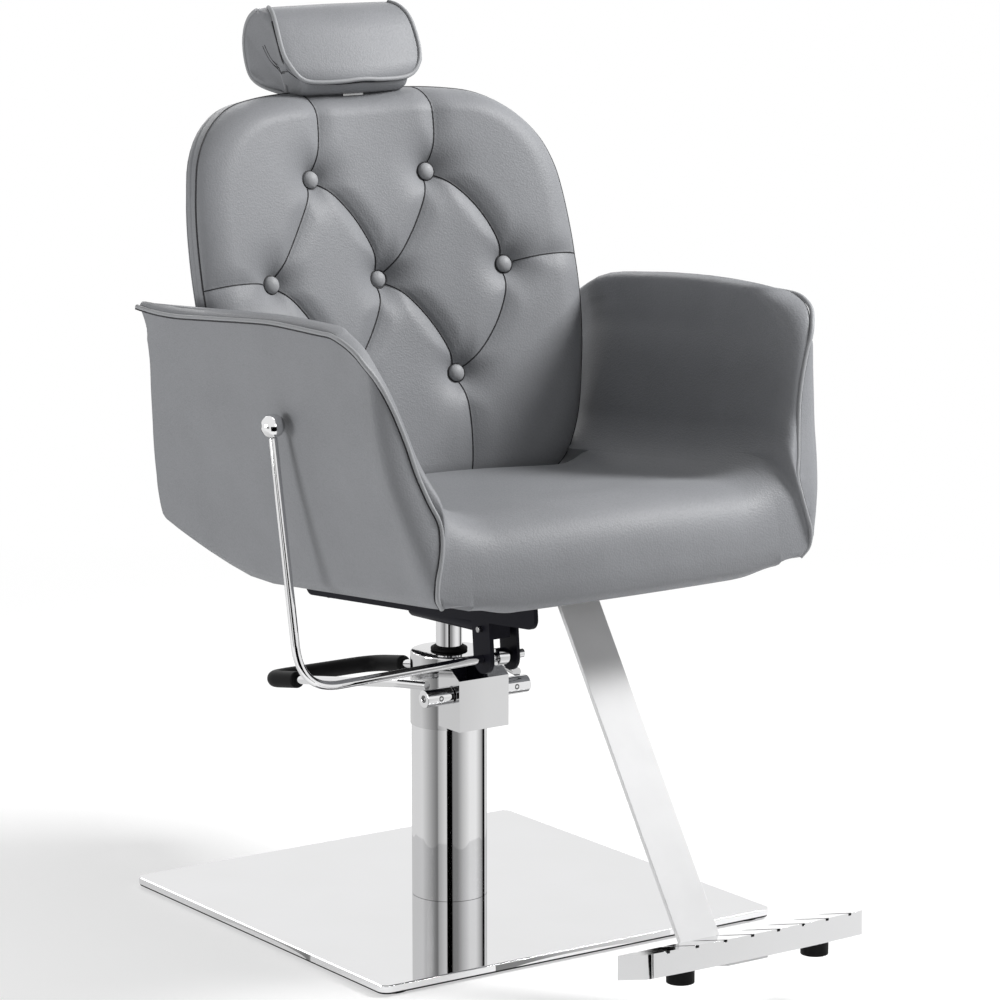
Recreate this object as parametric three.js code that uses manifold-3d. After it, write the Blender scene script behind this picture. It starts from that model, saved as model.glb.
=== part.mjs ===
// A hydraulic barber chair: square base plate, pump column with its foot pedal, a turning seat tub with a
// tufted reclining back, a sliding headrest and a T footrest.
// Millimetres, +Z up. The origin is on the floor under the column axis; the sitter faces -Y.
import * as THREE from "three";
import { mergeVertices } from "three/addons/utils/BufferGeometryUtils.js";
import Module from "manifold-3d";

const wasm = await Module();
wasm.setup();

// Driving sizes.
const GAP = 0.3; // between seated pieces
const RUNNING = 0.3; // between a shaft and its bore

const BASE = { width: 602, corner: 14, thickness: 8.5, bevel: 2 };
const UNDERLAY = { inset: 1.5, thickness: 2.2 };
const FOOT = { height: 3, radius: 22, inset: 29, centreRadius: 62 };
const COLUMN = { radius: 49, wall: 2.5 };
const HEAD = { radius: 50.5, bottom: 243.5, top: 340, edge: 3 };
const BOX = { half: 38.5, front: 80, bottom: 250, top: 317, shoulder: 334, ledge: 54, corner: 6 };
const CYLINDER = { radius: 30, wall: 6, floor: 10, top: 325 };
const RAM = { radius: 17, foot: 62, taperStart: 392, top: 430, topRadius: 14.5 };
const PISTON = { height: 22, clearance: 0.3 };
const SEAL = { radius: 24, height: 6 };
const AXLE = { y: -60, z: 296, radius: 7, half: 79 };
const COLLAR = { radius: 11.5, outer: 80, inner: 40 };
const PEDAL = { radius: 5.8, half: 85, rear: 312, rearHeight: 252, nearY: -8, nearHeight: 308, bend: 26, weldX: 70 };
const SLEEVE = { wall: 5.6, start: 234 };

const SEAT_TILT = THREE.MathUtils.degToRad(5); // front edge up
const SEAT_ORIGIN = 400; // height of the rails' lower edge over the column
const RAIL = { inner: 60, thickness: 6, height: 42.9, front: -287, shortFront: -98, rear: 243, corner: 14 };
const FLANGE = { width: 26, thickness: 4, front: -268, rear: 128 };
const HUB = { radius: 27, bottom: 388 };
const MOUNT = { half: 85, thickness: 6 };
const BOARD = { half: 165, front: -346, rear: 132, thickness: 15, corner: 70 };

const LEVER_AXIS = { y: -168, z: -47 };
const LUG = { radius: 19 };
const CHEEK = { x: -25, thickness: 4, flange: 22 };
const LEVER = { radius: 5.5, kneeX: -335, kneeZ: 362, topX: -345, topY: -130, topZ: 686, bend: 58, stub: -4 };
const KNOB = { radius: 15 };
const LEVER_COLLAR = { radius: 11, from: -46, to: -30 };

const PIVOT = { y: 200, z: 62, radius: 8, boss: 24 };
const GAS = { x: -43, pinY: -168, pinZ: -9, arm: 54, radius: 11, rodRadius: 5, pinRadius: 4, eyeRadius: 10.5, eyeWidth: 10 };
const GAS_LENGTHS = { head: 34, cylinderEnd: 15, headHalf: 13, slack: 3, insertion: 60, wall: 1.6 };
const BRACKET = { x: 56, thickness: 5, plateThickness: 5, plateLow: -262, plateHigh: -96, half: 58 };

const LEAN = THREE.MathUtils.degToRad(15); // back leans to the rear
const BACK_ORIGIN = { y: 158, z: 805 }; // centre button
const WRAP = { depth: 34, half: 300 }; // how far the sides of the back come forward
const TOP_ROLL = { start: 120, reach: 130, depth: 42 }; // how far its top edge falls back
const BACK = { crown: 20, seam: 6, rear: 10, edgeRoll: 46 };
const TUFT = { depth: 20, reach: 32, pleat: 6, pleatReach: 10, centre: 8 };
const BUTTON = { radius: 11, seat: 1, rim: 2.5, dome: 5.5 };
const BACK_BOARD = { thickness: 8, inset: 11 };
const COVER = { thickness: 13, inset: 1.5, roll: 7 };
const GUIDE = { half: 22, depth: 14, y: 2.2, low: 62, high: 224 };
const POST = { half: 15.5, depth: 6, low: 92, high: 322, play: 1 };
const PILLOW = { half: 110, bulge: 11, cornerStart: 290, cornerReach: 30, cornerTuck: 0.26 };

const SEAT = { half: 232, top: 162, rear: 56, crown: 7, rearRound: 14, sideLift: 11 };
const FILLET = { start: 180, radius: 95 };
const ARM = { upperInner: 306, upperInnerHeight: 345, bottom: 61, baseX: 287, rise: 0.155, topBow: 6, rearRelief: 14 };
const BELLY = { front: 17, rear: 0, height: 330 };
const NOSE = 20; // how far the arm's front edge takes to round into its outer panel
const HEM = { tuck: 12, share: 0.04 }; // the arm's lower edge draws in

const BAR = { half: 30, thickness: 6, rearEnd: -140, bendY: -282, bend: 24, footY: -541, footZ: 74, toe: -632 };
const TREAD = { half: 163, rear: -592, front: -651, bow: 14, height: 30, rearTop: 103, slope: 0.268, corner: 9 };
const GROOVE = { count: 8, pitch: 39, width: 5, depth: 3 };
const TREAD_FOOT = { x: 101, y: -632, radius: 17, height: 13 };

// Finishes.
const finish = (color, roughness, metalness) => new THREE.MeshStandardMaterial({ color, roughness, metalness });
const CHROME = finish(0xdfe2e5, 0.08, 1);
const BLACK_STEEL = finish(0x1e2027, 0.42, 0.4);
const RUBBER = finish(0x101012, 0.8, 0);
const LEATHER = finish(0x838588, 0.48, 0);
const PLYWOOD = finish(0xb08a5a, 0.8, 0);
const STEEL = finish(0x9a9da1, 0.3, 1);

// Solid helpers.
function solidOf(geometry) {
  const bare = geometry.clone();
  for (const name of Object.keys(bare.attributes)) {
    if (name !== "position") bare.deleteAttribute(name);
  }
  const merged = mergeVertices(bare, 1e-4);
  return new wasm.Manifold(
    new wasm.Mesh({
      numProp: 3,
      vertProperties: new Float32Array(merged.attributes.position.array),
      triVerts: new Uint32Array(merged.index.array),
    }),
  );
}

function geometryOf(solid) {
  const { vertProperties, triVerts } = solid.getMesh();
  return new THREE.BufferGeometry()
    .setAttribute("position", new THREE.BufferAttribute(vertProperties, 3))
    .setIndex(new THREE.BufferAttribute(triVerts, 1));
}

const join = (...parts) => geometryOf(parts.map(solidOf).reduce((sum, part) => sum.add(part)));
const cut = (body, ...tools) => geometryOf(tools.map(solidOf).reduce((rest, tool) => rest.subtract(tool), solidOf(body)));

const block = (x0, x1, y0, y1, z0, z1) =>
  new THREE.BoxGeometry(x1 - x0, y1 - y0, z1 - z0).translate((x0 + x1) / 2, (y0 + y1) / 2, (z0 + z1) / 2);

// A round bar between two points.
function bar(from, to, radius, sides = 20) {
  const axis = new THREE.Vector3().subVectors(to, from);
  const turn = new THREE.Quaternion().setFromUnitVectors(new THREE.Vector3(0, 1, 0), axis.clone().normalize());
  return new THREE.CylinderGeometry(radius, radius, axis.length(), sides)
    .applyQuaternion(turn)
    .translate((from.x + to.x) / 2, (from.y + to.y) / 2, (from.z + to.z) / 2);
}

const barAlongX = (x0, x1, y, z, radius, sides) => bar(new THREE.Vector3(x0, y, z), new THREE.Vector3(x1, y, z), radius, sides);
const post = (x, y, z0, z1, radius, sides) => bar(new THREE.Vector3(x, y, z0), new THREE.Vector3(x, y, z1), radius, sides);

// A solid of revolution about the column axis, from [radius, height] pairs running up the outside.
const turned = (profile, sides = 40) =>
  new THREE.LatheGeometry(profile.map(([radius, height]) => new THREE.Vector2(radius, height)), sides).rotateX(Math.PI / 2);

// A closed skin over rings of equal point counts; both end rings are closed by a fan about their centre.
function loft(rings) {
  const count = rings[0].length;
  const points = rings.flat();
  const index = [];
  rings.slice(1).forEach((_, ring) => {
    for (let k = 0; k < count; k++) {
      const a = ring * count + k;
      const b = ring * count + ((k + 1) % count);
      index.push(a, b, a + count, b, b + count, a + count);
    }
  });
  const capEnd = (ring, flip) => {
    const centre = rings[ring].reduce((sum, p) => sum.add(p), new THREE.Vector3()).divideScalar(count);
    points.push(centre);
    const middle = points.length - 1;
    for (let k = 0; k < count; k++) {
      const a = ring * count + k;
      const b = ring * count + ((k + 1) % count);
      index.push(middle, flip ? a : b, flip ? b : a);
    }
  };
  capEnd(0, false);
  capEnd(rings.length - 1, true);
  const geometry = new THREE.BufferGeometry().setFromPoints(points).setIndex(index);
  return solidOf(geometry).volume() < 0 ? turnedOut(geometry) : geometry;
}

// The same skin with its faces turned round.
function turnedOut(geometry) {
  const index = Array.from(geometry.index.array);
  for (let i = 0; i < index.length; i += 3) [index[i], index[i + 1]] = [index[i + 1], index[i]];
  return geometry.setIndex(index);
}

// A polyline whose inner corners are rounded by arcs.
function roundedPath(corners, radius, steps = 6) {
  const path = [corners[0]];
  for (let i = 1; i < corners.length - 1; i++) {
    const back = new THREE.Vector3().subVectors(corners[i - 1], corners[i]).normalize();
    const on = new THREE.Vector3().subVectors(corners[i + 1], corners[i]).normalize();
    const half = back.angleTo(on) / 2;
    const reach = radius / Math.tan(half);
    const centre = back.clone().add(on).normalize().multiplyScalar(radius / Math.sin(half)).add(corners[i]);
    const start = corners[i].clone().addScaledVector(back, reach).sub(centre);
    const end = corners[i].clone().addScaledVector(on, reach).sub(centre);
    const sweep = start.angleTo(end);
    for (let k = 0; k <= steps; k++) {
      const share = k / steps;
      const arc = start.clone().multiplyScalar(Math.sin((1 - share) * sweep));
      path.push(arc.addScaledVector(end, Math.sin(share * sweep)).divideScalar(Math.sin(sweep)).add(centre));
    }
  }
  path.push(corners[corners.length - 1]);
  return path;
}

// A round tube along a path.
function tube(path, radius, sides = 12) {
  let across = new THREE.Vector3(0.31, 0.52, 0.8);
  const rings = path.map((point, i) => {
    const ahead = path[Math.min(i + 1, path.length - 1)];
    const behind = path[Math.max(i - 1, 0)];
    const along = new THREE.Vector3().subVectors(ahead, behind).normalize();
    across = across.clone().addScaledVector(along, -across.dot(along)).normalize();
    const up = new THREE.Vector3().crossVectors(along, across);
    return Array.from({ length: sides }, (_, k) => {
      const angle = (k / sides) * 2 * Math.PI;
      return point.clone().addScaledVector(across, radius * Math.cos(angle)).addScaledVector(up, radius * Math.sin(angle));
    });
  });
  return loft(rings);
}

// A rectangle with rounded corners, centred, in the XY plane.
function roundedRectangle(width, height, radius) {
  const shape = new THREE.Shape();
  const [w, h] = [width / 2, height / 2];
  shape.absarc(w - radius, h - radius, radius, 0, Math.PI / 2);
  shape.absarc(radius - w, h - radius, radius, Math.PI / 2, Math.PI);
  shape.absarc(radius - w, radius - h, radius, Math.PI, 1.5 * Math.PI);
  shape.absarc(w - radius, radius - h, radius, 1.5 * Math.PI, 2 * Math.PI);
  return shape;
}

// The outline round a set of circles { y, z, r }: a plate that links bosses and rounded corners.
function hullOutline(circles, steps = 28) {
  const points = circles.flatMap(({ y, z, r }) =>
    Array.from({ length: steps }, (_, k) => {
      const angle = (k / steps) * 2 * Math.PI;
      return new THREE.Vector2(y + r * Math.cos(angle), z + r * Math.sin(angle));
    }),
  );
  points.sort((a, b) => a.x - b.x || a.y - b.y);
  const turn = (o, a, b) => (a.x - o.x) * (b.y - o.y) - (a.y - o.y) * (b.x - o.x);
  const chain = (list) => {
    const kept = [];
    for (const p of list) {
      while (kept.length > 1 && turn(kept[kept.length - 2], kept[kept.length - 1], p) <= 1e-6) kept.pop();
      kept.push(p);
    }
    return kept.slice(0, -1);
  };
  return new THREE.Shape([...chain(points), ...chain([...points].reverse())]);
}

// A plate cut to a YZ outline, from x0 to x1.
const sidePlate = (shape, x0, x1) =>
  new THREE.ExtrudeGeometry(shape, { depth: x1 - x0, bevelEnabled: false, curveSegments: 8 })
    .applyMatrix4(new THREE.Matrix4().set(0, 0, 1, x0, 1, 0, 0, 0, 0, 1, 0, 0, 0, 0, 0, 1));

const linkPlate = (circles, x0, x1) => sidePlate(hullOutline(circles), x0, x1);

const chair = new THREE.Group();
const seat = new THREE.Group(); // tilted frame of the rails and the tub
seat.position.z = SEAT_ORIGIN;
seat.rotation.x = -SEAT_TILT;
const back = new THREE.Group(); // leaning frame of the back: +Z up the back, +Y to its rear
back.position.set(0, BACK_ORIGIN.y, BACK_ORIGIN.z);
back.rotation.x = -LEAN;
chair.add(seat, back);
chair.updateMatrixWorld(true);

function add(group, name, geometry, material) {
  const mesh = new THREE.Mesh(geometry, material);
  mesh.name = name;
  group.add(mesh);
}

const seatToBack = (y, z) => back.worldToLocal(seat.localToWorld(new THREE.Vector3(0, y, z)));

// Base plate on its underlay and feet.
const underlayBottom = FOOT.height + GAP;
const plateBottom = underlayBottom + UNDERLAY.thickness + GAP;
const plateTop = plateBottom + BASE.thickness;
const columnFoot = plateTop + GAP;

function addBase() {
  const shape = roundedRectangle(BASE.width - 2 * BASE.bevel, BASE.width - 2 * BASE.bevel, BASE.corner - BASE.bevel);
  const options = { depth: BASE.thickness - BASE.bevel, bevelThickness: BASE.bevel, bevelSize: BASE.bevel, bevelSegments: 2 };
  const slab = new THREE.ExtrudeGeometry(shape, { ...options, curveSegments: 8 }).translate(0, 0, plateBottom);
  const below = block(-BASE.width, BASE.width, -BASE.width, BASE.width, plateBottom - BASE.width, plateBottom);
  add(chair, "base_plate", cut(slab, below), CHROME);
  const sheetWidth = BASE.width - 2 * UNDERLAY.inset;
  const sheet = roundedRectangle(sheetWidth, sheetWidth, BASE.corner - UNDERLAY.inset);
  const underlay = new THREE.ExtrudeGeometry(sheet, { depth: UNDERLAY.thickness, bevelEnabled: false, curveSegments: 8 });
  add(chair, "base_underlay", underlay.translate(0, 0, underlayBottom), RUBBER);
  const corner = BASE.width / 2 - FOOT.inset;
  [[-1, -1], [1, -1], [1, 1], [-1, 1]].forEach(([x, y], i) =>
    add(chair, `base_foot_${i + 1}`, post(x * corner, y * corner, 0, FOOT.height, FOOT.radius, 24), RUBBER),
  );
  add(chair, "centre_foot", post(0, 0, 0, FOOT.height, FOOT.centreRadius, 32), RUBBER);
}

// Column: outer tube, hydraulic cylinder, pump head with its box, ram with piston, wiper seal.
function addColumn() {
  const inner = COLUMN.radius - COLUMN.wall;
  const tubeTop = HEAD.bottom - GAP;
  const tubeProfile = [[inner, columnFoot], [COLUMN.radius, columnFoot], [COLUMN.radius, tubeTop], [inner, tubeTop], [inner, columnFoot]];
  add(chair, "column_tube", turned(tubeProfile, 48), CHROME);

  const bore = CYLINDER.radius - CYLINDER.wall;
  const cup = [[0, columnFoot], [CYLINDER.radius, columnFoot], [CYLINDER.radius, CYLINDER.top], [bore, CYLINDER.top]];
  cup.push([bore, columnFoot + CYLINDER.floor], [0, columnFoot + CYLINDER.floor]);
  add(chair, "pump_cylinder", turned(cup, 32), STEEL);

  const round = HEAD.edge;
  const cap = [[0, HEAD.bottom], [HEAD.radius, HEAD.bottom], [HEAD.radius, HEAD.top - round]];
  cap.push([HEAD.radius - 0.3 * round, HEAD.top - 0.3 * round], [HEAD.radius - round, HEAD.top], [0, HEAD.top]);
  const sideOutline = new THREE.Shape();
  sideOutline.moveTo(0, BOX.bottom).lineTo(-BOX.front, BOX.bottom).lineTo(-BOX.front, BOX.top);
  sideOutline.lineTo(-BOX.ledge, BOX.shoulder).lineTo(0, BOX.shoulder);
  const box = sidePlate(sideOutline, -BOX.half, BOX.half);
  const edges = [-1, 1].map((side) =>
    new THREE.BoxGeometry(2 * BOX.corner, 2 * BOX.corner, 4 * BOX.half)
      .rotateZ(Math.PI / 4)
      .translate(side * (BOX.half + BOX.corner * 0.7), -BOX.front - BOX.corner * 0.7, BOX.top),
  );
  const tools = [
    post(0, 0, HEAD.bottom - 1, CYLINDER.top + GAP, CYLINDER.radius + GAP, 32),
    post(0, 0, CYLINDER.top - 1, HEAD.top + 1, RAM.radius + RUNNING, 28),
    barAlongX(-2 * BOX.half, 2 * BOX.half, AXLE.y, AXLE.z, AXLE.radius + RUNNING, 20),
  ];
  add(chair, "pump_head", cut(join(turned(cap, 48), box), ...edges, ...tools), CHROME);

  const sealBottom = HEAD.top + GAP;
  const lip = RAM.radius + RUNNING;
  const seal = [[lip, sealBottom], [SEAL.radius, sealBottom], [SEAL.radius, sealBottom + SEAL.height * 0.5]];
  seal.push([lip + 1.5, sealBottom + SEAL.height], [lip, sealBottom + SEAL.height], [lip, sealBottom]);
  add(chair, "ram_seal", turned(seal, 32), RUBBER);

  const pistonRadius = bore - PISTON.clearance;
  const ram = [[0, RAM.foot - PISTON.height], [pistonRadius, RAM.foot - PISTON.height], [pistonRadius, RAM.foot]];
  ram.push([RAM.radius, RAM.foot], [RAM.radius, RAM.taperStart], [RAM.topRadius, RAM.top], [0, RAM.top]);
  add(chair, "ram", turned(ram, 28), CHROME);
}

// Foot pedal: an axle through the pump head, a clamp collar on each end and a loop to the rear in a rubber sleeve.
function addPedal() {
  add(chair, "pedal_axle", barAlongX(-AXLE.half, AXLE.half, AXLE.y, AXLE.z, AXLE.radius, 20), CHROME);
  const weld = new THREE.Vector3(PEDAL.weldX, AXLE.y + COLLAR.radius * 0.6, AXLE.z + COLLAR.radius * 0.8 + PEDAL.radius);
  const shoulder = new THREE.Vector3(PEDAL.half, PEDAL.nearY, PEDAL.nearHeight);
  const corner = new THREE.Vector3(PEDAL.half, PEDAL.rear, PEDAL.rearHeight);
  const mirrored = ({ x, y, z }) => new THREE.Vector3(-x, y, z);
  const collarBar = (side) => {
    const solid = barAlongX(side * COLLAR.inner, side * COLLAR.outer, AXLE.y, AXLE.z, COLLAR.radius, 24);
    const bore = barAlongX(side * (COLLAR.inner - 1), side * (AXLE.half + GAP), AXLE.y, AXLE.z, AXLE.radius + GAP, 20);
    return cut(solid, bore, barAlongX(side * AXLE.half, side * (COLLAR.outer + 1), AXLE.y, AXLE.z, AXLE.radius * 0.7, 12));
  };
  const route = [mirrored(weld), mirrored(shoulder), mirrored(corner), corner, shoulder, weld];
  const path = roundedPath(route, PEDAL.bend, 5);
  const clearCollars = [-1, 1].map((side) =>
    barAlongX(side * (COLLAR.inner - 1), side * (COLLAR.outer + 2), AXLE.y, AXLE.z, COLLAR.radius + GAP, 24),
  );
  add(chair, "axle_collar_right", collarBar(-1), CHROME);
  add(chair, "axle_collar_left", collarBar(1), CHROME);
  const loop = tube(path, PEDAL.radius, 12);
  add(chair, "pedal_loop", cut(loop, ...clearCollars), CHROME);
  const sleevePath = path.filter((point) => point.y > SLEEVE.start);
  const sleeveEnd = new THREE.Vector3().lerpVectors(shoulder, corner, (SLEEVE.start - PEDAL.nearY) / (PEDAL.rear - PEDAL.nearY));
  const sleeveRoute = [mirrored(sleeveEnd), ...sleevePath, sleeveEnd];
  const outer = tube(sleeveRoute, PEDAL.radius + SLEEVE.wall, 14);
  add(chair, "pedal_sleeve", cut(outer, tube(path, PEDAL.radius + GAP, 12)), RUBBER);
}

// Carriage: hub and mounting plate, side rails, lever cheek, pins and seat board.
function addCarriage() {
  const plateTopZ = RAIL.height;
  const plate = block(-RAIL.inner + GAP, RAIL.inner - GAP, -MOUNT.half, MOUNT.half, plateTopZ - MOUNT.thickness, plateTopZ);
  const placed = plate.applyMatrix4(seat.matrixWorld);
  const hubTop = SEAT_ORIGIN + plateTopZ - MOUNT.thickness / 2;
  const hub = turned([[0, HUB.bottom], [HUB.radius, HUB.bottom], [HUB.radius, hubTop - 2], [0, hubTop - 2]], 32);
  const taper = [[0, HUB.bottom - 1], [RAM.radius + RUNNING, HUB.bottom - 1], [RAM.radius + RUNNING, RAM.taperStart]];
  taper.push([RAM.topRadius + RUNNING, RAM.top + RUNNING], [0, RAM.top + RUNNING]);
  add(chair, "seat_mount", cut(join(placed, hub), turned(taper, 28)), BLACK_STEEL);

  const rail = (side, front, lug) => {
    const x0 = side > 0 ? RAIL.inner : -RAIL.inner - RAIL.thickness;
    const x1 = x0 + RAIL.thickness;
    const low = { z: RAIL.corner, r: RAIL.corner };
    const high = { z: RAIL.height - 2, r: 2 };
    const web = linkPlate([{ y: front + RAIL.corner, ...low }, { y: RAIL.rear - RAIL.corner, ...low }, { y: front + 2, ...high },
      { y: PIVOT.y - 60, ...high }], x0, x1);
    const ear = linkPlate([{ y: PIVOT.y, z: PIVOT.z, r: PIVOT.boss }, { y: RAIL.rear - RAIL.corner, ...low },
      { y: PIVOT.y - 62, z: RAIL.corner, r: RAIL.corner }], x0, x1);
    const flange = block(side > 0 ? x0 : x0 - FLANGE.width, side > 0 ? x1 + FLANGE.width : x1,
      Math.max(front, FLANGE.front), FLANGE.rear, RAIL.height - FLANGE.thickness, RAIL.height);
    const parts = [web, ear, flange];
    const bores = [barAlongX(-2 * RAIL.inner, 2 * RAIL.inner, PIVOT.y, PIVOT.z, PIVOT.radius + RUNNING, 20)];
    if (lug) {
      parts.push(linkPlate([{ ...LEVER_AXIS, r: LUG.radius }, { y: LEVER_AXIS.y, z: RAIL.corner, r: LUG.radius }], x0, x1));
      bores.push(barAlongX(x0 - 1, x1 + 1, LEVER_AXIS.y, LEVER_AXIS.z, LEVER.radius + RUNNING, 16));
      bores.push(barAlongX(x0 - 1, x1 + 1, GAS.pinY, GAS.pinZ, GAS.pinRadius + GAP, 16));
    }
    return cut(join(...parts), ...bores);
  };
  add(seat, "rail_right", rail(-1, RAIL.front, true), BLACK_STEEL);
  add(seat, "rail_left", rail(1, RAIL.shortFront, false), BLACK_STEEL);

  const cheekTop = RAIL.height - BAR.thickness - GAP;
  const cheekPlate = linkPlate([{ ...LEVER_AXIS, r: LUG.radius }, { y: LEVER_AXIS.y, z: cheekTop - LUG.radius, r: LUG.radius }],
    CHEEK.x, CHEEK.x + CHEEK.thickness);
  const cheekFlange = block(CHEEK.x, CHEEK.x + CHEEK.flange, LEVER_AXIS.y - LUG.radius, LEVER_AXIS.y + LUG.radius,
    cheekTop - CHEEK.thickness, cheekTop);
  const cheekBores = [
    barAlongX(CHEEK.x - 1, CHEEK.x + CHEEK.thickness + 1, LEVER_AXIS.y, LEVER_AXIS.z, LEVER.radius + RUNNING, 16),
    barAlongX(CHEEK.x - 1, CHEEK.x + CHEEK.thickness + 1, GAS.pinY, GAS.pinZ, GAS.pinRadius + GAP, 16),
  ];
  add(seat, "lever_cheek", cut(join(cheekPlate, cheekFlange), ...cheekBores), BLACK_STEEL);
  add(seat, "gas_front_pin", barAlongX(-RAIL.inner - RAIL.thickness - 5, CHEEK.x + CHEEK.thickness + 5, GAS.pinY, GAS.pinZ,
    GAS.pinRadius, 16), STEEL);
  const pinHalf = RAIL.inner + RAIL.thickness + 6;
  add(seat, "recline_pin", barAlongX(-pinHalf, pinHalf, PIVOT.y, PIVOT.z, PIVOT.radius, 20), STEEL);

  const length = BOARD.rear - BOARD.front;
  const outline = roundedRectangle(2 * BOARD.half, length, BOARD.corner);
  const board = new THREE.ExtrudeGeometry(outline, { depth: BOARD.thickness, bevelEnabled: false, curveSegments: 8 })
    .translate(0, (BOARD.front + BOARD.rear) / 2, RAIL.height + GAP);
  add(seat, "seat_board", board, PLYWOOD);
}

// The recline lever: a bent rod with a ball, held in the rail's lug and the cheek by a collar.
function addLever() {
  const lowPoint = seat.localToWorld(new THREE.Vector3(0, LEVER_AXIS.y, LEVER_AXIS.z));
  const inner = new THREE.Vector3(LEVER.stub, lowPoint.y, lowPoint.z);
  const straight = new THREE.Vector3(-RAIL.inner - RAIL.thickness - 12, lowPoint.y, lowPoint.z);
  const elbow = new THREE.Vector3(LEVER.kneeX, lowPoint.y, LEVER.kneeZ);
  const top = new THREE.Vector3(LEVER.topX, LEVER.topY, LEVER.topZ - KNOB.radius);
  const knobCentre = new THREE.Vector3(LEVER.topX, LEVER.topY, LEVER.topZ);
  const path = roundedPath([straight, elbow, top], LEVER.bend, 9);
  const rod = tube([inner, ...path], LEVER.radius, 14);
  add(chair, "lever_rod", cut(rod, new THREE.SphereGeometry(KNOB.radius + GAP, 24, 16).translate(...knobCentre)), CHROME);
  const ball = new THREE.SphereGeometry(KNOB.radius, 28, 18).rotateX(Math.PI / 2).translate(...knobCentre);
  add(chair, "lever_knob", ball, CHROME);
  const ring = barAlongX(LEVER_COLLAR.from, LEVER_COLLAR.to, lowPoint.y, lowPoint.z, LEVER_COLLAR.radius, 24);
  const hole = barAlongX(LEVER_COLLAR.from - 1, LEVER_COLLAR.to + 1, lowPoint.y, lowPoint.z, LEVER.radius + GAP, 14);
  add(chair, "lever_collar", cut(ring, hole), CHROME);
}

// Gas spring between the rail's lug and the back bracket.
function addGasSpring() {
  const gas = new THREE.Group(); // +Y along the spring, origin on its front pin
  const rise = PIVOT.z - GAS.arm - GAS.pinZ;
  const run = PIVOT.y - GAS.pinY;
  gas.position.set(GAS.x, GAS.pinY, GAS.pinZ);
  gas.rotation.x = Math.atan2(rise, run);
  seat.add(gas);
  const length = Math.hypot(rise, run);
  const along = (y0, y1, radius, sides) => bar(new THREE.Vector3(0, y0, 0), new THREE.Vector3(0, y1, 0), radius, sides);
  const end = GAS_LENGTHS.cylinderEnd - GAS.pinY;
  const half = GAS_LENGTHS.headHalf;
  const head = block(-half, half, -half, GAS_LENGTHS.head - half, -half, half);
  const body = join(head, along(0, end, GAS.radius, 24));
  const pinBore = barAlongX(-2 * half, 2 * half, 0, 0, GAS.pinRadius + GAP, 16);
  const chamber = end - GAS_LENGTHS.insertion - 40;
  const rodBore = along(chamber, end + 1, GAS.rodRadius + RUNNING, 16);
  add(gas, "gas_cylinder", cut(body, pinBore, rodBore), BLACK_STEEL);
  const eyeHalf = GAS.eyeWidth / 2;
  const eye = barAlongX(-eyeHalf, eyeHalf, length, 0, GAS.eyeRadius, 24);
  const hole = barAlongX(-2 * eyeHalf, 2 * eyeHalf, length, 0, GAS.pinRadius + GAS_LENGTHS.slack, 20);
  const rod = join(along(end - GAS_LENGTHS.insertion, length - GAS.eyeRadius + 1, GAS.rodRadius, 16), eye);
  add(gas, "gas_rod", cut(rod, hole), CHROME);
}

// How far the back stands off its lean plane: its sides wrap forward and its top edge falls back.
const wrap = (x) => (-WRAP.depth * (1 - Math.cos((Math.PI * Math.min(Math.abs(x), WRAP.half)) / WRAP.half))) / 2;
const topFall = (z) => TOP_ROLL.depth * Math.max(0, (z - TOP_ROLL.start) / TOP_ROLL.reach) ** 1.6;

// Half of the back's outline, from the middle of its top to the middle of its foot.
const BACK_OUTLINE = new THREE.CatmullRomCurve3(
  [[0, 257], [90, 255], [150, 249], [190, 240], [223, 222], [248, 198], [268, 167], [280, 130], [286, 95], [290, 45],
    [291, 0], [289, -54], [282, -109], [274, -147], [263, -192], [249, -228], [229, -260], [196, -282], [150, -291], [0, -292]]
    .map(([x, z]) => new THREE.Vector3(x, 0, z)),
  false, "centripetal",
);

// The whole outline, drawn in by an inset.
function backOutline(count, inset) {
  const half = BACK_OUTLINE.getSpacedPoints(count / 2);
  const left = half.slice(1, -1).reverse().map(({ x, z }) => new THREE.Vector3(-x, 0, z));
  const loop = [...half, ...left];
  return loop.map((point, i) => {
    const along = new THREE.Vector3().subVectors(loop[(i + 1) % loop.length], loop[(i + loop.length - 1) % loop.length]).normalize();
    return new THREE.Vector3(point.x + inset * along.z, 0, point.z - inset * along.x);
  });
}

// Buttons from the top row down; the one in the middle is drawn in deeper.
const BUTTONS = [[-90, 137], [90, 137], [-181, 4], [0, 2], [181, 4], [-91, -132], [91, -132]]
  .map(([x, z]) => ({ x, z, sunk: x ? 0 : TUFT.centre }));
const PLEATS = [[0, 2], [0, 3], [1, 3], [1, 4], [2, 5], [3, 5], [3, 6], [4, 6]].map(([a, b]) => [BUTTONS[a], BUTTONS[b]]);
PLEATS.push([BUTTONS[0], { x: -89, z: 256 }], [BUTTONS[1], { x: 89, z: 256 }], [BUTTONS[2], { x: -291, z: 6 }]);
PLEATS.push([BUTTONS[4], { x: 291, z: 6 }], [BUTTONS[5], { x: -84, z: -292 }], [BUTTONS[6], { x: 84, z: -292 }]);

// How far the tufting draws the leather in at a place on the back.
function tuftDepth(x, z) {
  let depth = 0;
  for (const { x: bx, z: bz, sunk } of BUTTONS) {
    const off = Math.hypot(x - bx, z - bz) / TUFT.reach;
    depth = Math.max(depth, (TUFT.depth + sunk) * Math.exp(-(off ** 2)));
  }
  for (const [a, b] of PLEATS) {
    const [dx, dz] = [b.x - a.x, b.z - a.z];
    const share = THREE.MathUtils.clamp(((x - a.x) * dx + (z - a.z) * dz) / (dx * dx + dz * dz), 0, 1);
    const off = Math.hypot(x - a.x - share * dx, z - a.z - share * dz) / TUFT.pleatReach;
    depth = Math.max(depth, TUFT.pleat * Math.exp(-(off ** 2)));
  }
  return depth;
}

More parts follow.
